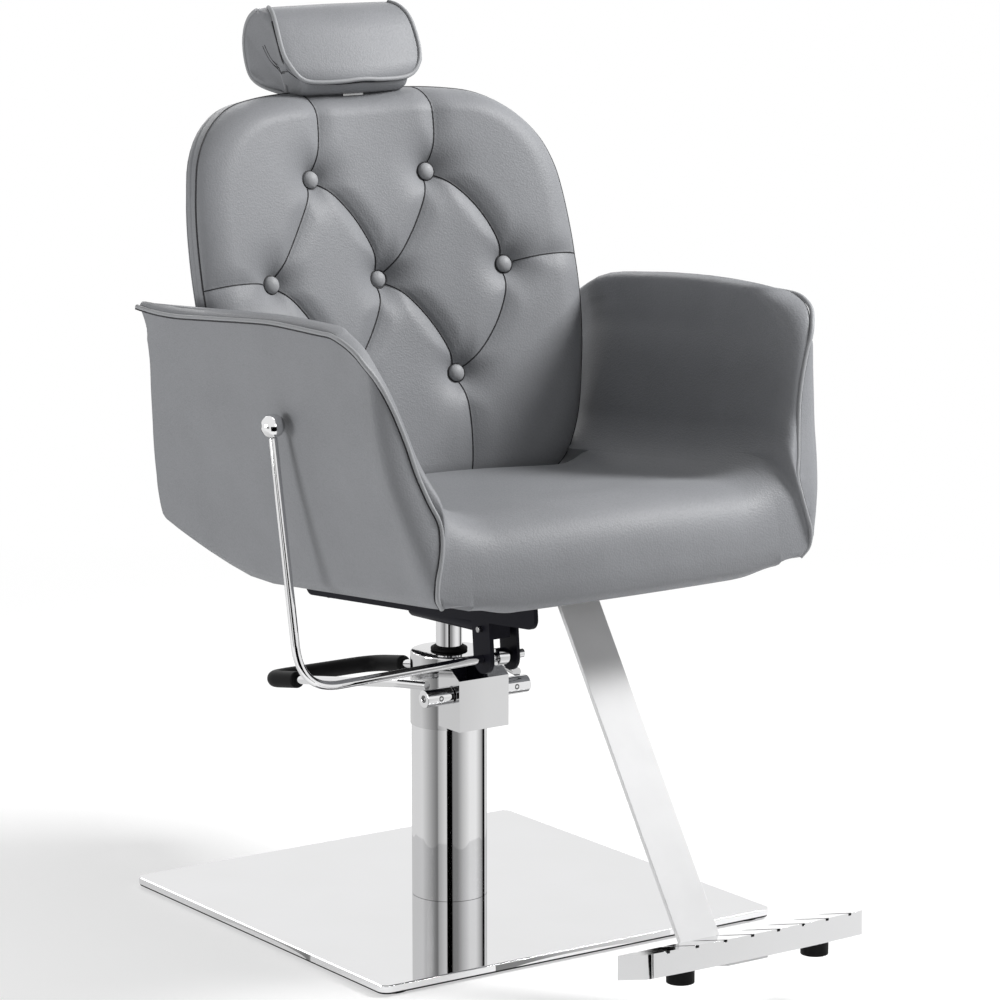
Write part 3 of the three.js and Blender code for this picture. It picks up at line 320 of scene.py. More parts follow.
def facets_tree():
    """Joins a frame node's facets: only the edges that turn more than an angle stay sharp."""
    graph, (shape, sharp_angle) = geometry_graph("joined_facets", {"Sharp Angle": "Float"})
    plain = graph.node("RemoveAttribute", {"Geometry": shape, "Name": "custom_normal"})
    merged = graph.node("MergeByDistance", {"Geometry": plain, "Distance": 2e-5})
    angle = graph.node("InputMeshEdgeAngle")
    crisp = graph.node("FunctionNodeCompare", {0: angle, 1: sharp_angle}, {"operation": "GREATER_THAN"})
    edged = shaded(graph, shaded(graph, merged), "EDGE", **{"Selection": crisp, "Shade Smooth": False})
    graph.feed(graph.tree.nodes.new("NodeGroupOutput"), {0: edged})
    return graph.tree


def grow(thing, tree, settings):
    """Adds a geometry nodes modifier and sets its named inputs."""
    modifier = thing.modifiers.new(tree.name, "NODES")
    modifier.node_group = tree
    for label, value in settings.items():
        modifier[tree.interface.items_tree[label].identifier] = value


joined_facets = facets_tree()


def dress(node, material, sharp=32.0, bevel=0.0, segments=2):
    """Gives a frame node its finish, shades its facets as one face and breaks its edges."""
    part = nodes[node]
    part.data.materials.clear()
    part.data.materials.append(material)
    grow(part, joined_facets, {"Sharp Angle": radians(sharp)})
    if bevel:
        broken = part.modifiers.new("broken_edges", "BEVEL")
        broken.width, broken.segments = bevel, segments
        broken.limit_method, broken.angle_limit = "ANGLE", radians(sharp)
        broken.use_clamp_overlap = True
        part.modifiers.new("level_faces", "WEIGHTED_NORMAL").keep_sharp = True


def polished(name, tone, haze):
    """Bright plate: mirror metal with a faint haze of wiping marks."""
    finish = Finish(name)
    wiped = finish.noise(9.0, 4.0)
    fine = finish.noise(260.0)
    roughness = haze + 0.05 * wiped * wiped + 0.012 * fine
    stain = finish.blend(wiped, grey(tone * 0.95), grey(tone, tone * 1.015))
    return finish.coat(stain, roughness, Metallic=1.0)


DULL = {"Specular IOR Level": 0.07}


def moulded(name, tone, grain, roughness):
    """Black rubber with a fine moulded grain and dusty high spots."""
    finish = Finish(name)
    pores = finish.noise(grain, 3.0)
    dust = finish.noise(35.0, 4.0)
    color = finish.blend(dust, grey(tone), grey(tone * 1.9, tone * 2.0))
    bump = finish.bump(pores, 0.25, 0.0002)
    return finish.coat(color, roughness + 0.12 * dust, Normal=bump, **DULL)


mirror = polished("mirror_plate", 0.78, 0.015)
chrome = polished("chrome", 0.8, 0.03)
black_rubber = moulded("black_rubber", 0.005, 900.0, 0.5)

dress("base_plate", mirror, bevel=0.0012, segments=3)
for pad in ("base_underlay", "base_foot_1", "base_foot_2", "base_foot_3", "base_foot_4", "centre_foot"):
    dress(pad, black_rubber, bevel=0.0006)


# Column and pump: a chromed tube on the plate, a pump head with a square box for the
# pedal's axle, and the chromed ram in its rubber wiper.
steel = polished("turned_steel", 0.42, 0.22)
dress("column_tube", chrome)
dress("pump_cylinder", steel)
pump_chrome = polished("pump_chrome", 0.68, 0.03)
dress("pump_head", pump_chrome, bevel=0.0009, segments=3)
dress("ram_seal", black_rubber, bevel=0.0006)
dress("ram", chrome)


# Pedal: a bent chromed bar on an axle through the pump head, held by a clamp collar with a
# hexagon set screw at each end, with a ribless rubber sleeve over its rear bend.
def coated(graph, shape, surface):
    """Ends a tree: smooth shading, real geometry and its finish."""
    plain = graph.node("RealizeInstances", {"Geometry": shaded(graph, shape)})
    ended = graph.node("SetMaterial", {"Geometry": plain, "Material": surface})
    graph.feed(graph.tree.nodes.new("NodeGroupOutput"), {0: ended})
    return graph.tree


def bar_tree():
    """A round bar along a path, with closed ends."""
    inputs = {"Radius": "Float", "Sides": "Int", "Finish": "Material"}
    graph, (path, radius, sides, surface) = geometry_graph("bar_on_path", inputs)
    line = graph.node("MeshToCurve", {"Mesh": path})
    sockets = {"Resolution": sides, "Radius": radius}
    section = graph.node("CurvePrimitiveCircle", sockets, {"mode": "RADIUS"})
    sockets = {"Curve": line, "Profile Curve": section, "Fill Caps": True}
    return coated(graph, graph.node("CurveToMesh", sockets), surface)


def grown(name, points, edges, tree, settings):
    """Runs a geometry nodes tree on points and edges and returns the result as a plain mesh."""
    carrier = put(name, mesh_of(name + "_path", [tuple(point) for point in points], edges, []))
    grow(carrier, tree, settings)
    depsgraph = bpy.context.evaluated_depsgraph_get()
    mesh = bpy.data.meshes.new_from_object(carrier.evaluated_get(depsgraph))
    bpy.data.objects.remove(carrier)
    mesh.name = name
    mesh.set_sharp_from_angle(angle=radians(50))
    return put(name, mesh)


bar_on_path = bar_tree()


def rod(name, points, radius, material, sides, closed=False):
    last = len(points) - 1
    edges = [(i, i + 1) for i in range(last)] + ([(last, 0)] if closed else [])
    return grown(name, points, edges, bar_on_path, {"Radius": radius, "Sides": sides, "Finish": material})


BEND_LIMIT = 0.49


def rounded(corners, radius, steps=10):
    """A path through corners, each turned with a radius."""
    corners = [Vector(corner) for corner in corners]
    path = [corners[0]]
    for before, corner, after in zip(corners, corners[1:], corners[2:]):
        arrive, leave = corner - before, after - corner
        longest = BEND_LIMIT * min(arrive.length, leave.length)
        reach = min(radius * tan(arrive.angle(leave) / 2), longest)
        start, end = corner - arrive.normalized() * reach, corner + leave.normalized() * reach
        for step in range(steps + 1):
            share = step / steps
            path.append((1 - share) ** 2 * start + 2 * share * (1 - share) * corner + share**2 * end)
    return [*path, corners[-1]]


def other_side(point):
    return (-point[0], point[1], point[2])


BAR_SIDES = 32
PEDAL_RADIUS, PEDAL_HALF, PEDAL_BEND = 0.0058, 0.085, 0.034
pedal_weld = (0.070, -0.0531, 0.311)
pedal_shoulder = (PEDAL_HALF, -0.008, 0.308)
pedal_corner = (PEDAL_HALF, 0.312, 0.252)
pedal_half = [pedal_corner, pedal_shoulder, pedal_weld]
pedal_path = rounded([*[other_side(point) for point in pedal_half[::-1]], *pedal_half], PEDAL_BEND)
pedal_bar = rod("pedal_bar", pedal_path, PEDAL_RADIUS, chrome, BAR_SIDES)
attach(pedal_bar, "pedal")
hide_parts("pedal_loop")

SLEEVE_FROM, SLEEVE_RADIUS = 0.234, 0.0113
run = (SLEEVE_FROM - pedal_shoulder[1]) / (pedal_corner[1] - pedal_shoulder[1])
sleeve_end = Vector(pedal_shoulder).lerp(Vector(pedal_corner), run)
sleeve_path = [Vector(other_side(sleeve_end)), *[p for p in pedal_path if p.y > SLEEVE_FROM], sleeve_end]
sleeve = rod("pedal_rubber", sleeve_path, SLEEVE_RADIUS, black_rubber, BAR_SIDES)
lip = sleeve.modifiers.new("soft_lip", "BEVEL")
lip.width, lip.segments, lip.limit_method, lip.angle_limit = 0.003, 4, "ANGLE", radians(50)
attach(sleeve, "pedal")
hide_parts("pedal_sleeve")
dress("pedal_axle", chrome)
for collar in ("axle_collar_right", "axle_collar_left"):
    dress(collar, chrome, bevel=0.001, segments=3)

MERGE_WITHIN, IRON_PASSES = 1e-5, 8


def skin(name, rings, material, sharp, ironed_above=None):
    """A closed body through rings of the same count. Its folds above a height are ironed."""
    rings = np.asarray(rings, float)
    count, around = rings.shape[:2]
    faces = []
    for low in range(0, (count - 1) * around, around):
        for i in range(around):
            j = (i + 1) % around
            faces.append((low + i, low + j, low + around + j, low + around + i))
    faces += [tuple(range(around))[::-1], tuple(range((count - 1) * around, count * around))]
    mesh = mesh_of(name, rings.reshape(-1, 3).tolist(), [], faces)
    body = bmesh.new()
    body.from_mesh(mesh)
    bmesh.ops.remove_doubles(body, verts=body.verts, dist=MERGE_WITHIN)
    bmesh.ops.recalc_face_normals(body, faces=body.faces)
    if ironed_above is not None:
        upper = [vert for vert in body.verts if vert.co.z > ironed_above]
        axes = {"use_axis_x": True, "use_axis_y": True, "use_axis_z": True}
        for _ in range(IRON_PASSES):
            bmesh.ops.smooth_vert(body, verts=upper, factor=0.5, **axes)
    body.to_mesh(mesh)
    body.free()
    mesh.materials.append(material)
    mesh.shade_smooth()
    mesh.set_sharp_from_angle(angle=radians(sharp))
    return put(name, mesh)


SCREW_SIDES, SCREW_LENGTH, EDGE_BREAK = 24, 0.003, 0.0004
HEX_SHARE, HEX_LIP, HEX_FLOOR, HEX_DEPTH = 0.55, 1.1, 0.95, 0.0024


def socket_screw(name, centre, outward, radius, material):
    """A socket screw's end: a ring with a broken edge round a dark hexagon hole."""
    turn = Vector(outward).to_track_quat("Z", "Y")
    hole = radius * HEX_SHARE
    rings = []
    for reach, height in (
        (radius, -SCREW_LENGTH), (radius, -EDGE_BREAK), (radius - EDGE_BREAK, 0.0),
        (hole * HEX_LIP, 0.0), (hole, -0.0003), (hole * HEX_FLOOR, -HEX_DEPTH),
    ):
        ring = []
        for angle in (2 * pi * i / SCREW_SIDES for i in range(SCREW_SIDES)):
            away = reach
            if reach <= hole * HEX_LIP:
                off_flat = (angle + pi / 6) % (pi / 3) - pi / 6
                away = reach * cos(pi / 6) / cos(off_flat)
            spot = Vector((away * cos(angle), away * sin(angle), height))
            ring.append(Vector(centre) + turn @ spot)
        rings.append(ring)
    return skin(name, rings, material, sharp=30.0)


# The clamp collars' set screws, and the socket in the end of the axle's right collar.
AXLE_Y, AXLE_Z, COLLAR_REACH = -0.060, 0.296, 0.0117
dark_steel = polished("blacked_steel", 0.16, 0.3)
for name, centre, outward, radius in (
    ("collar_socket", (-0.0801, AXLE_Y, AXLE_Z), (-1, 0, 0), 0.0046),
    ("set_screw_right", (-0.060, AXLE_Y - COLLAR_REACH, AXLE_Z), (0, -1, 0), 0.0036),
    ("set_screw_left", (0.058, AXLE_Y - COLLAR_REACH, AXLE_Z), (0, -1, 0), 0.0036),
):
    screw = socket_screw(name, centre, outward, radius, dark_steel)
    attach(screw, "pedal")


# Carriage: folded and welded plate under the seat, black enamel over steel, with the lever's
# lug and cheek, the gas spring's pins and the hub on the ram.
def enamelled(name, tone):
    """Black enamel: slightly blue, with a fine orange-peel surface."""
    finish = Finish(name)
    peel = finish.noise(420.0, 1.0)
    scuffed = finish.noise(22.0, 5.0, 0.6)
    color = finish.blend(scuffed, grey(tone, tone * 1.7), grey(tone * 1.7, tone * 2.6))
    bump = finish.bump(peel, 0.12, 0.0003)
    return finish.coat(color, 0.28 + 0.2 * scuffed, Normal=bump, **DULL)


enamel = enamelled("black_enamel", 0.005)
for part in ("seat_mount", "rail_right", "rail_left", "lever_cheek"):
    dress(part, enamel, bevel=0.0007)
for pin in ("gas_front_pin", "recline_pin"):
    dress(pin, steel, bevel=0.0006)


def boarded(name, dark, light):
    """Plywood: a face with long grain, and plies that show along its edges."""
    finish = Finish(name)
    stretch = finish.node("Mapping", {"Vector": finish.place(), "Scale": (1.0, 0.09, 1.0)})
    grain = finish.node("TexNoise", {"Vector": stretch, "Scale": 160.0, "Detail": 5.0})
    sockets = {"Vector": finish.place(), "Scale": 110.0}
    plies = finish.node("TexWave", sockets, {"bands_direction": "Z"})
    fibre = (grain * 0.7 + plies * 0.3).clip()
    color = finish.blend(fibre, (*dark, 1.0), (*light, 1.0))
    return finish.coat(color, 0.7, Normal=finish.bump(grain, 0.2, 0.0004))


blacked = boarded("black_stained_plywood", (0.005, 0.005, 0.006), (0.016, 0.015, 0.015))
dress("seat_board", blacked, bevel=0.001)


# Recline lever: a chromed rod bent up beside the right arm to a ball, turning in the rail's
# lug and the cheek, with a clamp collar between them.
def tilted(angle, origin_y, origin_z):
    """A function from a tilted frame's coordinates, in millimetres, to a point of the row frame."""

    def place(x, y, z):
        y, z = y / 1000, z / 1000
        turned_y = y * cos(angle) + z * sin(angle)
        turned_z = z * cos(angle) - y * sin(angle)
        return Vector((x / 1000, origin_y + turned_y, origin_z + turned_z))

    return place


from_seat = tilted(radians(5), 0.0, 0.400)
LEVER_RADIUS, LEVER_BEND, BALL_RADIUS = 0.0055, 0.058, 0.015
lever_low = from_seat(0, -168, -47)
lever_corners = [
    (-0.078, lever_low.y, lever_low.z),
    (-0.335, lever_low.y, 0.362),
    (-0.345, -0.130, 0.686 - BALL_RADIUS),
]
lever_path = [Vector((-0.004, lever_low.y, lever_low.z)), *rounded(lever_corners, LEVER_BEND, 18)]
lever = rod("lever_bar", lever_path, LEVER_RADIUS, chrome, BAR_SIDES)
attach(lever, "lever")
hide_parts("lever_rod")
dress("lever_knob", chrome, sharp=60.0)
dress("lever_collar", chrome, bevel=0.0008)


# Gas spring: a black cylinder with a square head and a chromed rod with an eye, between the
# front pin and the back's bracket.
dress("gas_cylinder", enamel, bevel=0.0008)
dress("gas_rod", chrome)
dress("back_bracket", enamel, bevel=0.0008)
dress("gas_rear_pin", steel)


# Leather: mid-grey hide with a fine pebble grain, satin from wear on the crowns. The tub is a
# seat pad and two arms: one hide runs from the seat up the inside of each arm to the piping.
def satin(name, tone, grain):
    """A cloudy satin surface with the pebble grain of leather, which a grain of 0 leaves out."""
    finish = Finish(name)
    sockets = {"Vector": finish.place(), "Scale": 430.0, "Smoothness": 0.5}
    pebble = finish.node("TexVoronoi", sockets, {"feature": "SMOOTH_F1"})
    pores = finish.noise(1500.0)
    cloudy = finish.noise(14.0, 3.0)
    crease = finish.noise(90.0, 5.0, 0.62)
    relief = pebble * 0.7 + pores * 0.3 + crease * 0.5
    shade = (0.5 + (cloudy - 0.5) * 0.7 - (pebble - 0.35) * 0.28 * grain).clip()
    dark, light = ([channel * share for channel in tone] for share in (0.86, 1.14))
    color = finish.blend(shade, (*dark, 1.0), (*light, 1.0))
    bump = finish.bump(relief, 0.55 * grain, 0.0006)
    roughness = 0.4 + 0.14 * cloudy + 0.1 * pebble
    return finish.coat(color, roughness, Normal=bump, **{"Specular IOR Level": 0.26})


leather = satin("grey_leather", (0.198, 0.203, 0.214), 1.0)
# A lighter copy of the grey leather for the piping and the covered buttons, which are the same hide: a
# painted highlight.
piping_leather = satin("piping_leather", (0.26, 0.265, 0.275), 0.6)
# A near-black copy of the leather for the lines in the pleats, along the seams and round the buttons, which
# are painted shade, and for the stitching.
shade_and_stitch_leather = satin("folded_leather", (0.012, 0.012, 0.014), 0.4)


def ease(value, low, high):
    share = min(1.0, max(0.0, (value - low) / (high - low)))
    return share * share * (3 - 2 * share)


def mix(a, b, share):
    return a + (b - a) * share


# The seat's sizes are in millimetres in its own tilted frame, like those of the arms.
SEAT_HALF, SEAT_TOP, SEAT_REAR, SEAT_CROWN, SEAT_BOTTOM = 232.0, 162.0, 56.0, 7.0, 43.2
SEAT_SIDE_LIFT, BOARD_HALF = 11.0, 165.0
SEAT_FRONT, SEAT_BOW = -402.0, 12.0
SEAT_CREST, SEAT_EDGE_Z, SEAT_POWER = -296.0, 60.0, 3.2
FILLET_FROM, FILLET_RADIUS = 180.0, 95.0
WRAP_DEPTH, WRAP_HALF = 34.0, 300.0
ROLL_STEPS, SEAT_COLUMNS, TOP_STEPS = 22, 64, 12
SEAT_REAR_EDGE = [(0, 40), (3, 16), (12, 5), (30, 0)]
SEAT_UNDER = [(4, 0.4, 35), (12, 0.7, 16), (26, 1, 0)]


def wrap(x):
    return -WRAP_DEPTH * (1 - cos(pi * min(abs(x), WRAP_HALF) / WRAP_HALF)) / 2


def seat_top(x):
    rise = max(0.0, abs(x) - FILLET_FROM)
    fillet = FILLET_RADIUS - sqrt(FILLET_RADIUS**2 - rise**2)
    return SEAT_TOP + fillet + SEAT_CROWN * (1 - (x / SEAT_HALF) ** 2) ** 2


def seat_front(x):
    return SEAT_FRONT - SEAT_BOW * (1 - (x / SEAT_HALF) ** 2)


def roll(crest, edge, power):
    """Points from a crest forward and down to an edge, square or round as its power says."""
    made = []
    for step in range(ROLL_STEPS + 1):
        turn = pi / 2 * step / ROLL_STEPS
        ahead, down = sin(turn) ** (2 / power), 1 - cos(turn) ** (2 / power)
        made.append([mix(a, b, share) for a, b, share in zip(crest, edge, (down, ahead, down))])
    return made


def seat_column(x):
    """The seat's section at x, from its rear edge over the top and down the front, and back below."""
    top, rear, front = seat_top(x), SEAT_REAR + wrap(x), seat_front(x)
    points = [(x, rear, SEAT_BOTTOM + 0.8 * SEAT_SIDE_LIFT)]
    points += [(x, rear - ahead, top - down) for ahead, down in SEAT_REAR_EDGE]
    rear_crest = rear - SEAT_REAR_EDGE[-1][0]
    points += [(x, mix(rear_crest, SEAT_CREST, step / TOP_STEPS), top) for step in range(1, TOP_STEPS)]
    points += roll((x, SEAT_CREST, top), (x, front, SEAT_EDGE_Z), SEAT_POWER)
    bottom = SEAT_BOTTOM + SEAT_SIDE_LIFT * ease(abs(x), BOARD_HALF, SEAT_HALF)
    points += [(x, front + back, share * bottom + lift) for back, share, lift in SEAT_UNDER]
    return [*points, (x, -240, bottom), (x, 0, bottom)]


seat_rings = []
for column in range(SEAT_COLUMNS + 1):
    x = mix(-SEAT_HALF, SEAT_HALF, column / SEAT_COLUMNS)
    seat_rings.append([from_seat(*point) for point in seat_column(x)])
seat_pad = skin("seat_pad", seat_rings, leather, sharp=60.0)
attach(seat_pad, "seat")
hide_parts("seat_cushion")

# Arm sections by height: the piped front edge (y, x), the rear edge's y and the crest's y.
ARM_HEIGHTS = [0, 0.05, 0.14, 0.24, 0.3, 0.39, 0.49, 0.63, 0.785, 0.865, 0.911, 0.951, 0.978, 1]
ARM_FRONT = [-392, -399, -402, -400, -396, -388, -379, -372, -366, -361, -352, -342, -326, -306]
ARM_EDGE = [270, 281, 277, 270, 268, 277, 286, 297, 316, 329, 337, 342, 344, 344]
ARM_REAR = [198, 211, 214, 209, 206, 200, 192, 181, 168, 165, 165, 167, 170, 173]
ARM_CREST = [-296, -303, -317, -329, -333, -338, -339, -338, -330, -319, -307, -292, -276, -258]


def curve_at(stations, t):
    """A smooth value between the arm's stations."""
    at, values = np.array(ARM_HEIGHTS, float), np.array(stations, float)
    slopes = np.gradient(values, at)
    i = min(int(np.searchsorted(at, t, side="right")) - 1, len(at) - 2)
    width = at[i + 1] - at[i]
    s = (t - at[i]) / width
    a, b = values[i], values[i + 1]
    return float(
        (2 * s**3 - 3 * s**2 + 1) * a + (s**3 - 2 * s**2 + s) * width * slopes[i]
        + (-2 * s**3 + 3 * s**2) * b + (s**3 - s**2) * width * slopes[i + 1]
    )


ARM_BOTTOM, UNDER_RISE, UNDER_LENGTH = 61.0, 60, 208


def arm_bottom(y):
    return ARM_BOTTOM + (UNDER_RISE * (y / UNDER_LENGTH) ** 1.3 if y > 0 else 0)


ARM_TOP, ARM_SWELL, SWELL_FROM, SWELL_TO = 386, 13, -330, -120
REAR_END, REAR_LENGTH, RIGHT_RISE, LEFT_DROP = 50.0, 118.0, 10.0, -46.0


def arm_top(y, side):
    """The arm's top edge: the right one ends in a raised tip, the left one falls to the rear."""
    change = LEFT_DROP if side > 0 else RIGHT_RISE
    swell = ARM_SWELL * ease(y, SWELL_FROM, SWELL_TO)
    return ARM_TOP + swell + change * (max(0.0, y - REAR_END) / REAR_LENGTH) ** 2


UPPER_INNER, UPPER_INNER_HEIGHT, LOW_SHARE = 306.0, 345.0, 0.62


def wall_x(z):
    """The inner face of an arm at a height: a fillet off the seat, then a wall that leans out."""
    rise = z - SEAT_TOP
    low = LOW_SHARE * FILLET_RADIUS

    def reach(h):
        return FILLET_FROM + sqrt(FILLET_RADIUS**2 - (FILLET_RADIUS - h) ** 2)

    if rise < low:
        return max(SEAT_HALF, reach(max(rise, 0.0)))
    share = min(1.0, (rise - low) / (UPPER_INNER_HEIGHT - SEAT_TOP - low))
    return mix(reach(low), UPPER_INNER, share)


ARM_BASE_X, ARM_RISE, BELLY, BELLY_HEIGHT = 287.0, 0.155, 17.0, 330.0


def panel_x(z, share):
    """The outer panel of an arm at a height, and a share of the way to its rear edge."""
    height = z - ARM_BOTTOM
    belly = BELLY * (1 - sqrt(share)) * sin(pi * min(height, BELLY_HEIGHT) / BELLY_HEIGHT)
    return ARM_BASE_X + ARM_RISE * height + belly


def rounding(distance, reach):
    return sqrt(1 - (1 - min(1.0, max(0.0, distance) / reach)) ** 2)


NOSE, HEM, HEM_LEVEL, RELIEF, LEAST_WALL = 20.0, 12.0, 0.04, 14.0, 14
VALLEY_DEPTH, VALLEY_BACK, VALLEY_WIDTH = 3.4, 50, 17
REAR_ROUND, REAR_OUTER, REAR_INNER = 12, 7, 6
LANDING, CREST_Y, CREST_LIFT, CREST_POWER = 12, -340, 129, 2.5
OUTER_SHARES = [0, 0.002, 0.006, 0.013, 0.022, 0.034, 0.05, 0.07, 0.1, 0.14, 0.2, 0.28, 0.36, 0.45]
OUTER_SHARES += [0.54, 0.63, 0.72, 0.8, 0.87, 0.92, 0.955, 0.975, 0.988, 0.996, 1]
INNER_ROWS = 16
FAN = [1.0, 0.75, 0.5, 0.25]
LEVELS = [0, 0.008, 0.02, 0.035, 0.05, *[i / 36 for i in range(3, 34)]]
LEVELS += [0.935, 0.95, 0.962, 0.973, 0.983, 0.992, 1]
TUCK_LEVEL, TUCK_HEIGHT = 0.06, 11.0


def arm_section(side, t, low):
    """A ring of an arm at height t: the outer panel to the rear, the inner face back, the nose.

    At t = 0 it fans out from the seat's side by `low`, so that seat and arm read as one hide.
    """
    front, edge, rear = (curve_at(stations, t) for stations in (ARM_FRONT, ARM_EDGE, ARM_REAR))
    hem = HEM * max(0.0, 1 - t / HEM_LEVEL)
    edge, front = mix(edge, SEAT_HALF, low), mix(front, seat_front(SEAT_HALF) + 8, low)
    outer = []
    for share in OUTER_SHARES:
        y = mix(front, rear, share)
        z = mix(arm_bottom(y), arm_top(y, side), t)
        behind = y - front
        dip = exp(-(((behind - VALLEY_BACK) / VALLEY_WIDTH) ** 2))
        valley = VALLEY_DEPTH * dip * ease(t, 0.02, 0.12)
        x = mix(edge, panel_x(z, share) - hem, rounding(behind, NOSE)) - valley
        x -= REAR_OUTER * (1 - rounding(rear - y, REAR_ROUND)) * ease(t, 0.0, 0.1)
        outer.append((mix(x, SEAT_HALF, low), y, z))
    top = arm_top(CREST_Y, side)
    crest_low = seat_top(SEAT_HALF) + LANDING * (1 - low)
    crest_high = mix(ARM_BOTTOM, top, t) + CREST_LIFT * (1 - t) ** CREST_POWER
    height = max(crest_low, crest_high) if t else crest_low
    share_up = (height - crest_low) / (top - crest_low)
    crest_y = curve_at(ARM_CREST, t)
    inner = []
    for row in range(INNER_ROWS + 1):
        y = mix(rear, crest_y, (row / INNER_ROWS) ** 0.9)
        z = mix(crest_low, arm_top(y, side), share_up)
        limit = wall_x(z) + RELIEF * ease(y, 0.6 * SEAT_REAR, 2 * SEAT_REAR) * (1 - low)
        limit = min(limit, panel_x(z, (y - front) / (rear - front)) - LEAST_WALL)
        limit += REAR_INNER * (1 - rounding(rear - y, REAR_ROUND)) * ease(t, 0.0, 0.1)
        inner.append((max(limit, SEAT_HALF), y, z))
    crest = inner.pop()
    face_y = mix(curve_at(ARM_FRONT, max(t, TUCK_LEVEL)), seat_front(SEAT_HALF), low)
    base = mix(arm_bottom(front), arm_top(front, side), t)
    tuck = TUCK_HEIGHT * max(0.0, 1 - t / TUCK_LEVEL)
    face = (edge, face_y, mix(base + tuck, SEAT_EDGE_Z, low))
    nose = roll(crest, face, mix(SEAT_POWER, 2.0, ease(t, 0.1, 0.6)))
    under = [(edge, mix(face_y, front, step**2), mix(face[2], base, step**0.5)) for step in (0.35, 0.7)]
    return outer + inner + nose + under


CAP_STEPS, CAP_RISE, CAP_FRONT, CAP_REAR = 8, 9.0, 50, 16


def arm_cap(top):
    """Rings that draw an arm's top ring in over a low crown."""
    outer_top, inner_top = np.array(top[: len(OUTER_SHARES)]), np.array(top[len(OUTER_SHARES) :][::-1])
    inner_top = inner_top[np.argsort(inner_top[:, 1])]
    rings = []
    for step in range(1, CAP_STEPS):
        turn = pi / 2 * step / (CAP_STEPS - 1)
        inward, upward = 1 - cos(turn), sin(turn)
        ring = []
        for x, y, z in top:
            outside = np.interp(y, outer_top[:, 1], outer_top[:, 0])
            inside = np.interp(y, inner_top[:, 1], inner_top[:, 0])
            ends = 1 - max(0.0, 1 - (y - top[0][1]) / CAP_FRONT) ** 2
            ends *= rounding(ARM_REAR[-1] + 1 - y, CAP_REAR)
            ring.append((mix(x, mix(outside, inside, 0.5), inward * 0.96), y, z + CAP_RISE * upward * ends))
        rings.append(ring)
    return rings


def arm_rings(side):
    levels = [(0.0, low) for low in FAN] + [(t, 0.0) for t in LEVELS]
    rings = [arm_section(side, t, low) for t, low in levels]
    return [[from_seat(side * x, y, z) for x, y, z in ring] for ring in rings + arm_cap(rings[-1])]


def between(a, b, at, low, high):
    return a + (b - a) * (at - low) / (high - low)


def smooth_line(points, count):
    """Evenly spaced points on a smooth curve through the given ones."""
    points = [np.array(point, float) for point in points]
    ends = [2 * points[0] - points[1], *points, 2 * points[-1] - points[-2]]
    dense = []
    for p0, p1, p2, p3 in zip(ends, ends[1:], ends[2:], ends[3:]):
        spans = (np.linalg.norm(b - a) ** 0.5 for a, b in ((p0, p1), (p1, p2), (p2, p3)))
        t0, t1, t2, t3 = np.cumsum([0, *spans])
        for t in np.linspace(t1, t2, 24, endpoint=False):
            a1, a2, a3 = between(p0, p1, t, t0, t1), between(p1, p2, t, t1, t2), between(p2, p3, t, t2, t3)
            dense.append(between(between(a1, a2, t, t0, t2), between(a2, a3, t, t1, t3), t, t1, t2))
    dense = np.array([*dense, points[-1]])
    lengths = np.concatenate([[0], np.cumsum(np.linalg.norm(np.diff(dense, axis=0), axis=1))])
    at = np.linspace(0, lengths[-1], count)
    return np.stack([np.interp(at, lengths, dense[:, axis]) for axis in range(dense.shape[1])], 1)


def calm(path, times):
    """Irons the small jumps out of a path, its ends kept."""
    path = np.array(path, float)
    for _ in range(times):
        path[1:-1] = (path[:-2] + 2 * path[1:-1] + path[2:]) / 4
    return path


def surface_of(piece):
    mesh = piece.data
    return BVHTree.FromPolygons([v.co for v in mesh.vertices], [f.vertices for f in mesh.polygons])


# The piping follows each arm's front and top edge, in the lighter leather of a painted highlight, and a
# near-black line of painted shade lies in its seam on the panel beside it.
ARM_PIPING, ARM_SEAM, PIPE_SIDES, IRON_ABOVE = 0.0030, 0.0013, 14, 0.756
PIPED_OUT, FLANK, BESIDE, BESIDE_OUT, FAR_OUT = 0.6, 2.3, 2.4, 3.4, 420
PIPED_LEVELS = [0, 0.04, 0.1, 0.17, 0.24, 0.31, 0.39, 0.49, 0.6, 0.7, 0.785, 0.85, 0.9, 0.94, 0.97, 0.99]
PIPED_SHARES = [0.04, 0.08, 0.14, 0.22, 0.32, 0.44, 0.56, 0.68, 0.78, 0.86, 0.92, 0.96, 0.985]


def arm_edge(side):
    """The edge of an arm that carries the piping, up the front and along the top."""
    corner = arm_top(ARM_FRONT[0], side)
    line = [(curve_at(ARM_EDGE, t), curve_at(ARM_FRONT, t), mix(ARM_BOTTOM, corner, t)) for t in PIPED_LEVELS]
    first, last = curve_at(ARM_FRONT, 1), curve_at(ARM_REAR, 1)
    for share in PIPED_SHARES:
        y = mix(first, last, share)
        z = arm_top(y, side)
        line.append((mix(ARM_EDGE[-1], panel_x(z, share), rounding(y - first, 2 * NOSE)), y, z))
    return smooth_line(line, 260)


def sewn(body, sides, rows):
    """Piping, stitching and the near-black lines of painted shade along seams and folds, that ride on a body.
    A row that ends in True closes its line.
    """
    for name, line, radius, material, *closed in rows:
        thread = rod(name, line, radius, material, sides, *closed)
        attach(thread, body)


